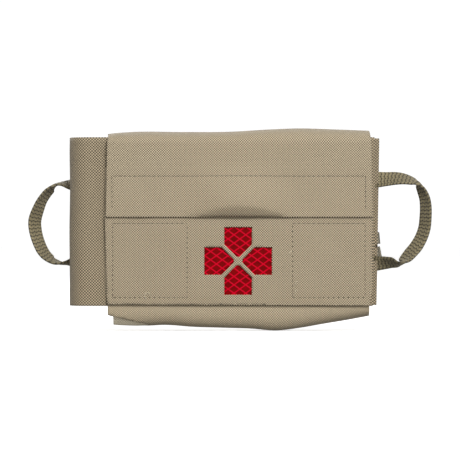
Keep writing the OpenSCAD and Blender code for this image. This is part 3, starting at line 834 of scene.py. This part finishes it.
def buildFlap():
    seam = frontTall + flapSet["seamBack"]
    front = [(-96.1, 0), (-34, 0), (-12, 0.7), (14, 0.7), (34, 0), (96.8, 0), (96.2, frontTall - 2),
             (95.3, frontTall + 9), (95, seam), (-94.8, seam), (-94.6, frontTall + 8), (-95.2, frontTall - 2)]
    bend = ("flap_upper", "flap_lower", (0, flapBend[1], flapBend[2] + 4), (0, flapBend[1], flapBend[2] - 4))
    piece = layCloth("flapFront", front, flapShape, "flapCloth", flapSet["step"], fabricThick, "folded",
                     ["insertShell"], bend, "laminate", "flap_front")
    roofCut = box(-95.0, seam - flapSet["lap"], 95.0, flapTall)
    bend = ("sleeve", "flap_upper", (0, backMid, 0), (0, backMid - 6, 0))
    layCloth("flapRoof", roofCut, flapShape, "flapCloth", flapSet["step"], fabricThick, "folded",
             ["insertShell"], bend, "laminate", "flap_top")

    def onFlap(u, v, inset=0.0):  # by height instead of by place on the cut
        return flapShape(u, v - flapSet["lowEdge"], inset)

    sewRow("flapStitches", flapRows[0], onFlap, "flap_lower", "laminate", length=flapSet["stitchLength"])
    low, high = edges("flap_hook_tape")
    behind = flapHigh[1] - flapMid + (high[1] - low[1]) / 2
    layCloth("flapHookTape", nodeCut(low, high), lambda u, v: onFlap(u, v, behind), "hookTape", 3, 1.2,
             "laid", [piece], "flap_lower", "hook_tape", "flap_hook_tape")


# Insert: one sheet goes from the rear cover round the left end to the front cover

insertSet = {"rightFront": (97.4, 98.6), "rightRear": (101.4, 103.4), "leftReach": 0.8, "topTrim": 0.8,
             "step": 2.4, "stitchRear": 5, "stitchFront": 4, "stitchHalf": 57, "sag": 0.35, "sagSize": 26}
turnStart = rearLow[0]


def turnPoint(share):  # round the left end, from the rear cover to the front cover
    reach = turnStart - (turnStart - insertLeft + insertSet["leftReach"] - fabricThick / 2) * 4 / 3
    a, b, c, d = weights(share)
    return (a + d) * turnStart + (b + c) * reach, (a + b) * rearMid + (c + d) * coverMid


turnLengths = lengthTable(np.stack(turnPoint(shares), 1))
rearLong, turnLong = rearHigh[0] - turnStart, turnLengths[-1]


def insertShape(u, v):
    u, v = np.broadcast_arrays(np.asarray(u, float), np.asarray(v, float))
    x, y = turnPoint(np.interp(u - rearLong, turnLengths, shares))
    sag = ripple(v, u, insertSet["sagSize"], insertSet["sag"]) * np.clip((61 - np.abs(v)) / 10, 0.2, 1)
    x = x - sag * np.sin(np.clip((u - rearLong) / turnLong, 0, 1) * math.pi)
    rear, fore = u < rearLong, u > rearLong + turnLong
    x = np.where(rear, rearHigh[0] - u, np.where(fore, turnStart + u - rearLong - turnLong, x))
    return column(x, np.where(rear, rearMid, np.where(fore, coverMid, y)), v)


def buildInsert():
    rearBottom, rearTop = (rearHigh[0] - x for x in insertSet["rightRear"])
    frontBottom, frontTop = (rearLong + turnLong + x - turnStart for x in insertSet["rightFront"])
    top, half = insertTop - insertSet["topTrim"], insertSet["stitchHalf"]
    outline = [(rearBottom, insertBottom), (frontBottom, insertBottom), (frontTop, top), (rearTop, top)]
    layCloth("insertShell", outline, insertShape, "insertCloth", insertSet["step"], fabricThick, "folded",
             ["insert_fold"], "insert", "laminate", "insert_rear_cover", "insert_fold", "insert_front_cover")
    for i, u in enumerate((rearTop + insertSet["stitchRear"], frontBottom - insertSet["stitchFront"])):
        sewRow(f"insertStitches{i}", [(u, -half), (u, half)], insertShape, "insert", "laminate")


# Pull loops: half-inch webbing, sewn flat to the rear cover and turned on its way out

loopSet = {  # middle of the webbing and how far it is turned there: place, height, degrees
    "left": [
        (-124.3, 26.8, 123), (-132.8, 26.2, 90), (-138.7, 22.4, 67.6), (-144, 15.5, 60), (-147, 8.8, 51),
        (-149.4, 1.3, 44), (-149.4, -5.1, 44), (-147.6, -12.9, 47.5), (-144.4, -20.6, 51),
        (-140.8, -25.5, 59), (-135.7, -29.1, 71), (-130, -30.1, 90), (-124.3, -30.4, 110)],
    "right": [
        (103.9, 30.6, 158), (108.9, 30.9, 146), (115, 31.3, 138), (121.1, 31, 128), (126, 30, 118),
        (129.2, 28.9, 109), (131.4, 27.4, 92), (133.2, 25.2, 74), (134.9, 21.8, 63), (136.9, 16.3, 56),
        (137.6, 9.6, 51), (137.4, 2.3, 49), (136.6, -5, 47), (134.4, -11.7, 45.6), (130.8, -18.2, 43),
        (126.9, -22.9, 45), (123.6, -26.6, 52), (121.2, -29, 66), (118.5, -30.7, 92),
        (115.6, -30.7, 113), (111.8, -30.3, 125), (105.8, -30.7, 143), (102.4, -31.1, 150)],
    "sewn": {"left": -86, "right": 84}, "width": 12, "thick": 1.8, "legPoints": 20, "legTurn": 13,
    "rise": 0.16, "cup": 2.0, "cupAngle": 0.4, "bendHalf": 1.6,
    "stitchStart": 2, "stitchLong": 13, "stitchHalf": 4.4,
    "stitch": {"lift": 0.62, "pitch": 2.4, "length": 1.5, "side": -1}}


def buildLoop(side):
    spec, sign, title = np.array(loopSet[side]), (-1 if side == "left" else 1), side.capitalize()
    sewn, count = loopSet["sewn"][side], loopSet["legPoints"]
    legMid = halfway(*edges(f"pull_seam_{side}"))
    outside = throughPoints(spec)
    run = lengthTable(outside[:, :2])
    share = run / run[-1]
    free = np.clip(np.minimum(share, 1 - share) / loopSet["rise"], 0, 1)
    reach = loopSet["width"] / 2
    forward = legMid - reach * np.sin(np.radians(outside[:, 2])) * free * free * (3 - 2 * free)
    legs = []
    for first, sweep in ((spec[0], 1), (spec[-1], -1)):
        xs = np.linspace(sewn, first[0] - sign * 1.5, count)
        late = np.clip((xs - first[0]) * sign / loopSet["legTurn"] + 1, 0, 1) ** 2
        legs.append(np.stack([xs, np.full(count, first[1]), 180 + (first[2] - 180) * late], 1)[::sweep])
    line = np.vstack([legs[0], outside, legs[1]])
    turn = np.radians(line[:, 2])
    along = unit(np.gradient(line[:, :2], axis=0))
    outward = np.stack([-along[:, 1], along[:, 0]], 1) * sign
    across = np.stack([outward[:, 0] * np.cos(turn), -np.sin(turn), outward[:, 1] * np.cos(turn)], 1)
    depth = np.concatenate([np.full(count, legMid), forward, np.full(count, legMid)])
    amount = loopSet["cup"] * np.exp(-((turn - math.pi / 2) / loopSet["cupAngle"]) ** 2)

    def arched(through):  # the webbing arches where it turns over
        return amount * np.sign(through[:, 0] * outward[:, 0] + through[:, 2] * outward[:, 1])

    loop = ribbon(f"pullLoop{title}", column(line[:, 0], depth, line[:, 1]), across, loopSet["width"],
                  loopSet["thick"], paint["webbing"], cup=arched)
    hinge, reach = jointPlace(f"pull_{side}_swing")[0], sign * loopSet["bendHalf"]
    finishPiece(loop, ("insert", f"pull_{side}", (hinge - reach, 0, 0), (hinge + reach, 0, 0)), "webbing",
                f"pull_loop_{side}", f"pull_seam_{side}")
    near = sewn + sign * loopSet["stitchStart"]
    left, right = sorted((near, near + sign * loopSet["stitchLong"]))
    for i, z in enumerate((spec[0][1], spec[-1][1])):
        ring = ringOf(left, z - loopSet["stitchHalf"], right, z + loopSet["stitchHalf"])
        sewRow(f"{side}LegStitches{i}", ring, flatAt(legMid), "insert", "webbing", **loopSet["stitch"])


# Belt straps at the back: folded webbing at the top, the strap, and its snap.
# A snap profile's pairs are a share of the cap's radius and a depth.

strapSet = {
    "width": 25.4, "thick": 1.5, "anchorThick": 1.55, "inner": 0.9, "layer": 1.75, "hem": 1.6, "wave": 0.25,
    "anchorTall": 12, "hemTall": 15, "stitchIn": 2.5, "stitch": {"pitch": 2.6, "length": 1.6, "side": -1},
    "capRadius": 6.4,
    "cap": [(0.55, -0.4), (1, -0.1), (1, 0.5), (0.93, 0.95), (0.8, 1), (0.74, 0.85), (0.5, 1.25), (0.2, 1.45),
            (0.03125, 1.5)],
    "ring": [(0.56, -0.8), (0.98, -0.85), (1, -1.6), (0.92, -3.2), (0.85, -4.6), (0.66, -4.8), (0.6, -4.2),
             (0.6, -1.6)],
    "stud": [(0.046875, 3.6), (0.3, 3.55), (0.42, 3.1), (0.44, 2.5), (0.36, 1.9), (0.38, 1.1), (0.8, 0.9),
             (0.95, 0.6), (0.97, 0.05), (0.046875, 0.0)]}


def buildStrap(side):
    low, high = edges(f"strap_{side}")
    across, outer = halfway(low, high, 0), halfway(low, high)
    top, bottom = high[2], low[2]
    thick, half, title = strapSet["thick"], strapSet["width"] / 2, side.capitalize()
    hemBack = outer + strapSet["hem"]
    snapPlace = (across, halfway(*edges(f"snap_socket_{side}"), 2))

    def webbing(name, path, thickness):
        path = np.array(spaced(path, 1.0, False))
        return ribbon(name, column(across, path[:, 0], path[:, 1]), (1, 0, 0), strapSet["width"], thickness,
                      paint["webbing"])

    def fold(y0, y1, z, up):
        turn = np.linspace(0, math.pi, 9)
        middle, radius = (y0 + y1) / 2, (y1 - y0) / 2
        return [(middle - radius * math.cos(a), z + up * radius * math.sin(a)) for a in turn]

    def snapPart(kind, base):
        profile = [(strapSet["capRadius"] * share, base + depth) for share, depth in strapSet[kind]]
        return turned(f"snap{kind.capitalize()}{title}", profile, snapPlace, paint["snapMetal"])

    ys = [strapSet["inner"] + k * strapSet["layer"] for k in range(3)]
    path = [(ys[0], top - 13), (ys[0], top - 7)] + fold(ys[0], ys[1], top - 1.2, 1)
    path += [(ys[1], top - 7)] + fold(ys[1], ys[2], top - 12, -1) + [(ys[2], top - 6), (ys[2], top - 0.8)]
    anchor = webbing(f"strapAnchor{title}", path, strapSet["anchorThick"])
    finishPiece(anchor, "sleeve", "webbing", *(["strap_anchors"] if side == "left" else []))
    path = fold(ys[2], outer, top - 0.6, 1) + [(outer, top - 4)]
    heights = np.arange(top - 6, bottom + 2, -2.0)
    path += [(outer + strapSet["wave"] * math.sin((top - z) / 9), z) for z in heights]
    path += fold(outer, hemBack, bottom + 1.2, -1)
    path += [(hemBack, bottom + 6), (hemBack, bottom + strapSet["hemTall"])]
    strap = webbing(f"beltStrap{title}", path, thick)
    finishPiece(strap, ("sleeve", f"belt_strap_{side}", (0, ys[2], 0), (0, outer - thick / 2, 0)), "webbing",
                f"strap_{side}")
    cap = snapPart("cap", hemBack + thick / 2)
    snapPart("ring", outer).parent = cap
    finishPiece(cap, f"belt_strap_{side}", "snap_metal", f"snap_socket_{side}")
    finishPiece(snapPart("stud", 0), "sleeve", "snap_metal", *(["snap_studs"] if side == "left" else []))
    left, right = across - half + strapSet["stitchIn"], across + half - strapSet["stitchIn"]
    sewRow(f"strapHemStitches{title}", ringOf(left, bottom + 3, right, bottom + 14.5), flatAt(hemBack),
           f"belt_strap_{side}", "webbing", thick / 2 - 0.02, **strapSet["stitch"])
    foot, head = top - strapSet["anchorTall"], top - strapSet["stitchIn"]
    rows = (ringOf(left, foot, right, head), [(left, foot), (right, head)], [(left, head), (right, foot)])
    for i, row in enumerate(rows):
        sewRow(f"anchorStitches{title}{i}", row, flatAt(ys[0]), "sleeve", "webbing", 0.72,
               **strapSet["stitch"])


# Inside of the insert: foam, stretch panel, and elastic sleeves for the supplies

insideSet = {"foamRadius": 2.6, "foamStep": 3.2, "foamCrown": 1.6, "coverCrown": 1.2, "crownReach": 14,
             "elasticThick": 0.7, "elasticRadius": 3.0, "tailThick": 0.8, "tailGap": 0.55,
             "tails": [(-16.6, -8.0, 104.0, 0.1), (-27.5, -18.3, 104.9, 0.2)]}  # foot, head, reach, slope


# Rounded block as a closed mesh, for foam and packs.
def roundedBlock(name, low, high, radius, step, material, shift=None):
    counts = np.maximum(2, np.ceil((high - low) / step).astype(int))
    lines = [np.linspace(a, b, n + 1) for a, b, n in zip(low, high, counts)]
    index, points, faces = {}, [], []

    def corner(key):
        if key not in index:
            p = np.array([line[k] for line, k in zip(lines, key)])
            core = np.clip(p, low + radius, high - radius)
            size = np.linalg.norm(p - core)
            points.append(core + (p - core) / size * radius if size > 1e-9 else p)
            index[key] = len(points) - 1
        return index[key]

    for axis in range(3):
        a, b = [k for k in range(3) if k != axis]
        for end in (0, counts[axis]):
            for i in range(counts[a]):
                for j in range(counts[b]):
                    quad = []
                    for di, dj in ((0, 0), (1, 0), (1, 1), (0, 1)):
                        key = [0, 0, 0]
                        key[axis], key[a], key[b] = end, i + di, j + dj
                        quad.append(corner(tuple(key)))
                    faces.append(quad[::-1] if (end == 0) ^ (axis == 1) else quad)
    points = np.array(points)
    return makeObject(name, points if shift is None else shift(points), faces, material)


def applyModifier(piece, kind, **settings):
    with bpy.context.temp_override(object=piece, active_object=piece, selected_objects=[piece]):
        modifier = piece.modifiers.new("shaping", kind)
        for name, value in settings.items():
            setattr(modifier, name, value)
        bpy.ops.object.modifier_apply(modifier=modifier.name)


# Blows a closed piece up as a cloth bag; no point moves further than the limit, in millimetres.
def puffed(piece, limit, voxel=4.0, pressure=4.0, frames=20):
    scene = bpy.context.scene
    applyModifier(piece, "REMESH", mode="VOXEL", voxel_size=voxel * mm)
    start = np.array([v.co[:] for v in piece.data.vertices])
    cloth = piece.modifiers.new("puff", "CLOTH")
    cloth.settings.use_pressure = True
    cloth.settings.uniform_pressure_force = pressure
    cloth.settings.effector_weights.gravity = 0
    cloth.point_cache.frame_start = 1
    cloth.point_cache.frame_end = frames
    for frameNumber in range(1, frames + 1):
        scene.frame_set(frameNumber)
    grown = piece.evaluated_get(bpy.context.evaluated_depsgraph_get())
    moved = np.array([v.co[:] for v in grown.data.vertices]) - start
    piece.modifiers.remove(cloth)
    scene.frame_set(1)
    far = np.linalg.norm(moved, axis=1, keepdims=True)
    moved *= np.minimum(1, limit * mm / np.maximum(far, 1e-9))
    piece.data.vertices.foreach_set("co", (start + moved).ravel())
    applyModifier(piece, "SUBSURF", levels=1)
    piece.data.shade_smooth()
    print("puffed", piece.name, "furthest", round(float(far.max()) / mm, 2), "points", len(start))


def buildInside():
    low, high = edges("foam_pad")

    def edgeDrop(x, z, crown):  # none in the middle, and the whole crown at the edges
        share = np.clip(np.minimum.reduce([x - low[0], high[0] - x, z - low[2], high[2] - z])
                        / insideSet["crownReach"], 0, 1)
        return (1 - np.sin(share * math.pi / 2)) * crown

    def crowned(p):
        front = np.where(p[:, 1] < halfway(low, high), 1, 0)
        p[:, 1] += front * edgeDrop(p[:, 0], p[:, 2], insideSet["foamCrown"])
        return p

    foam = roundedBlock("foamPad", low, high, insideSet["foamRadius"], insideSet["foamStep"], paint["foam"],
                        crowned)
    finishPiece(foam, "insert", "foam", "foam_pad")
    low, high = edges("stretch_panel")

    def cover(u, v):
        return column(u, halfway(low, high) + edgeDrop(u, v, insideSet["coverCrown"]), v)

    layCloth("stretchPanel", nodeCut(low, high), cover, "stretch", 3.5, 0.8, "stretched", [foam], "insert",
             "stretch_fabric", "stretch_panel")
    t, r = insideSet["elasticThick"], insideSet["elasticRadius"]
    for name in ("elastic_upper_left", "elastic_upper_right", "elastic_lower_left", "elastic_lower_right"):
        low, high = edges(name)
        y0, y1, z0, z1 = low[1] + t / 2 + r, high[1] - t / 2 - r, low[2] + t / 2 + r, high[2] - t / 2 - r
        path = []
        for y, z, start in ((y1, z1, 0), (y0, z1, 90), (y0, z0, 180), (y1, z0, 270)):
            turns = np.radians(start + np.arange(0, 91, 15))
            path += [(y + r * math.cos(a), z + r * math.sin(a)) for a in turns]
        path = np.array(spaced(path, 3.0))
        title = "".join(word.capitalize() for word in name.split("_")[1:])
        loop = ribbon(f"elastic{title}", column(halfway(low, high, 0), path[:, 0], path[:, 1]), (1, 0, 0),
                      high[0] - low[0], t, paint["elastic"], True)
        finishPiece(loop, "insert", "elastic", name)
    for i, (foot, head, reach, slope) in enumerate(insideSet["tails"]):
        xs = np.linspace(insertSet["rightFront"][0], reach, 8)
        centres = column(xs, rearHigh[1] + insideSet["tailGap"], (foot + head) / 2 + (xs - reach) * slope)
        tail = ribbon(f"elasticTail{i}", centres, (0, 0, 1), head - foot, insideSet["tailThick"],
                      paint["elastic"])
        finishPiece(tail, "insert", "elastic", *(["elastic_tail"] if i == 0 else []))


# Tourniquet: u runs along X and w from its back towards the front

tourniquetSet = {"width": 38, "turn": 28, "tip": 14, "tapeWide": 24, "tapeThick": 0.7, "tapeSide": 1.6,
                 "shoulder": 7.4, "edge": 0.35, "edgeAngle": 40}


def buildTourniquet():
    low, high = edges("tourniquet_band")
    back, centreZ = high[1], halfway(low, high, 2)
    thick = high[1] - low[1]
    layer = thick / 3.333
    pitch = (thick - layer) / 2
    end = high[0] - pitch / 2 - layer / 2
    outer = layer / 2 + 2 * pitch
    tapeThick = tourniquetSet["tapeThick"]

    def bend(u, w, start, stop):
        return [(u + pitch / 2 * math.cos(a), w + pitch / 2 * math.sin(a))
                for a in np.radians(np.linspace(start, stop, 9))]

    def layBand(name, path, step, cloth):
        path = np.array(spaced(path, step, False))
        centres = column(path[:, 0], back - path[:, 1], centreZ)
        return ribbon(name, centres, (0, 0, 1), tourniquetSet["width"], layer, paint[cloth])

    def layTape(name, low, high, path, width, cloth, closed=False):  # across the band, round what it holds
        centres = column(halfway(low, high, 0), path[:, 0], centreZ + path[:, 1])
        return ribbon(name, centres, (1, 0, 0), width, tapeThick, paint[cloth], closed)

    path = [(-end, layer / 2)] + bend(end, layer / 2 + pitch / 2, -90, 90)
    path += bend(-end, layer / 2 + 1.5 * pitch, 270, 90) + [(end - tourniquetSet["turn"], outer)]
    band = layBand("tourniquetBand", path, 2.5, "bandCloth")
    finishPiece(band, "tourniquet", "band_fabric", "tourniquet_band")
    path = [(end - tourniquetSet["turn"], outer), (end - tourniquetSet["tip"], outer)]
    finishPiece(layBand("tourniquetTip", path, 2, "tipCloth"), "tourniquet", "band_tip", "tourniquet_tip")
    deck = edges("tourniquet_plate")[0][1]
    rodLow, rodHigh = edges("tourniquet_windlass")
    rodY, side = halfway(rodLow, rodHigh), (rodHigh[2] - rodLow[2]) / 2 + tourniquetSet["tapeSide"]
    low, high = edges("tourniquet_inner_tape")
    along = np.arange(-24, 24.1, 2)
    flat = ribbon("innerTapeFlat", column(along, deck - 0.4 - 0.15 * np.sin(along / 5), centreZ), (0, 0, 1),
                  max(high[2] - low[2], tourniquetSet["tapeWide"]), tapeThick, paint["bandCloth"])
    ring = [(deck - 1.2, -side), (deck - 0.9, 0), (deck - 1.2, side), (rodY + 1.5, side + 0.5),
            (rodY, side - 0.6), (rodY, 0), (rodY, -side + 0.6), (rodY + 1.5, -side - 0.5)]
    ring = throughPoints([*ring, ring[0]])[:-1]
    loop = layTape("innerTapeLoop", low, high, ring, tourniquetSet["tapeWide"], "bandCloth", True)
    loop.parent = flat
    finishPiece(flat, "tourniquet", "band_fabric", "tourniquet_inner_tape")
    low, high = edges("tourniquet_time_strap")
    top, foot = low[1] + 0.4, high[1] - 0.4
    half, shoulder = (high[2] - low[2]) / 2, tourniquetSet["shoulder"]
    path = [(foot, half), (foot, shoulder + 4), (foot - 2, shoulder + 0.6), (top + 3.5, shoulder - 0.4),
            (top + 0.6, shoulder - 3)]
    path = [(y, -z) for y, z in path] + [(top, 0)] + path[::-1]
    strap = layTape("timeStrap", low, high, throughPoints(path), high[0] - low[0], "timeCloth")
    finishPiece(strap, "tourniquet", "time_strap", "tourniquet_time_strap")
    for node in ("tourniquet_buckle", "tourniquet_plate", "tourniquet_windlass", "tourniquet_clip"):
        piece = frame["nodes"][node]
        piece.data.materials.clear()
        piece.data.materials.append(paint["plastic"])
        rounding = piece.modifiers.new("roundedEdges", "BEVEL")
        rounding.width = tourniquetSet["edge"] * mm
        rounding.segments = 2
        rounding.limit_method = "ANGLE"
        rounding.angle_limit = math.radians(tourniquetSet["edgeAngle"])
        rounding.use_clamp_overlap = True


# Gauze: a vacuum-packed block in a sealed film

gauzeSet = {"crease": 0.9, "fold": 0.5, "wave": 9, "foldWidth": 19, "step": 1.8, "radius": 6.0, "inset": 1.4,
            "puff": 2.0, "rim": (5, 2.5)}


def buildGauze():
    low, high = edges("gauze_pack")
    middle = (low + high) / 2

    def creased(p):
        x, z = p[:, 0] / gauzeSet["wave"], p[:, 2] / gauzeSet["wave"]
        fine = np.abs(np.sin(x * 1.7 + 2 * np.sin(z * 1.3)))
        fine *= np.abs(np.sin(z * 1.9 + 1.6 * np.sin(x * 0.8 + 1)))
        folds = np.abs(np.sin((p[:, 0] - middle[0]) / gauzeSet["foldWidth"] + 0.3 * np.sin(p[:, 2] / 6)))
        depth = gauzeSet["crease"] * (1 - np.sqrt(fine)) + gauzeSet["fold"] * (1 - folds) ** 3
        toward = np.sign(p[:, 1] - middle[1]) * np.clip(np.abs(p[:, 1] - middle[1]) / 5, 0, 1)
        p[:, 1] -= toward * depth
        p[:, 2] -= np.sign(p[:, 2] - middle[2]) * 0.25 * depth
        return p

    inset = gauzeSet["inset"]
    block = roundedBlock("gauzePack", low + inset, high - inset, gauzeSet["radius"], gauzeSet["step"],
                         paint["wrapper"])
    puffed(block, gauzeSet["puff"])
    points = creased(np.array([v.co[:] for v in block.data.vertices]) / mm)
    block.data.vertices.foreach_set("co", (points * mm).ravel())
    finishPiece(block, "gauze", "wrapper", "gauze_pack")
    rimX, rimZ = gauzeSet["rim"]
    hole = box(low[0] + rimX, low[2] + rimZ, high[0] - rimX, high[2] - rimZ)

    def crimped(u, v):
        return column(u, middle[1] + ripple(u, v, 4, 0.35), v)

    layCloth("gauzeSeal", nodeCut(*edges("gauze_seal")), crimped, "wrapper", gauzeSet["step"], 0.5, "laid",
             [block], "gauze", "wrapper", "gauze_seal", holes=[hole])


for build, stage in ((buildSleeve, "sleeve"), (buildPanel, "front panel"), (buildFlap, "flap"),
                     (buildInsert, "insert"), (buildInside, "inside of the insert")):
    build()
    print(stage, "made")
for side in ("left", "right"):
    buildLoop(side)
    buildStrap(side)
print("webbing made")
buildTourniquet()
buildGauze()
print("supplies made")


# Studio: a pale floor that looks white to the camera, and soft light from the front and behind

studioSet = {"floor": (0.9, 0.9, 0.89), "bounce": 0.42, "glow": 0.5, "world": 0.56, "sky": 1.05, "drop": 0.3,
             "lights": {"keyLight": ((0.5, -2.3, 1.5), 1.0, 66.0), "fillLight": ((0.9, -2.4, 0.5), 1.4, 10.0),
                        "rearLight": ((-1.0, 2.4, 1.5), 1.4, 26.0)}}  # place, size, power


def areaLight(name, place, size, power):
    data = bpy.data.lights.new(name, "AREA")
    data.shape = "DISK"
    data.size = size
    data.energy = power
    light = bpy.data.objects.new(name, data)
    light.location = place
    light.rotation_euler = (-Vector(place)).to_track_quat("-Z", "Y").to_euler()
    bpy.context.scene.collection.objects.link(light)


def buildStudio():
    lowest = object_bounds()[0][2] / mm - studioSet["drop"]
    points = [(x, y, lowest) for y in (-7000, 14000) for x in (-9000, 9000)]
    material, s, where, surface = startMaterial("paleFloor", "Object", {
        "Roughness": 0.9, "Specular IOR Level": 0.1, "Emission Color": (1, 1, 1, 1)})
    seen = s.add("ShaderNodeLightPath").outputs["Is Camera Ray"]
    floor = studioSet["floor"]
    pale = s.mix(s.noise(where, 3.0), shade(floor, 0.99), shade(floor, 1.01))
    s.put(surface.inputs["Base Color"], s.mix(seen, shade(floor, studioSet["bounce"]), pale))
    s.put(surface.inputs["Emission Strength"], s.times(seen, studioSet["glow"]))
    makeObject("studioFloor", points, [(0, 1, 3, 2)], material)
    world = bpy.data.worlds.new("studioWorld")
    bpy.context.scene.world = world
    world.use_nodes = True
    world.node_tree.nodes.clear()
    s = Shader(world.node_tree)
    seen = s.add("ShaderNodeLightPath").outputs["Is Camera Ray"]
    strength = s.stretch(seen, 0, 1, studioSet["world"], studioSet["sky"])
    sky = s.add("ShaderNodeBackground", {"Color": (1, 1, 1, 1), "Strength": strength})
    s.add("ShaderNodeOutputWorld", {"Surface": sky.outputs[0]})
    for name, settings in studioSet["lights"].items():
        areaLight(name, *settings)
    bpy.context.scene.view_settings.view_transform = "Standard"


buildStudio()
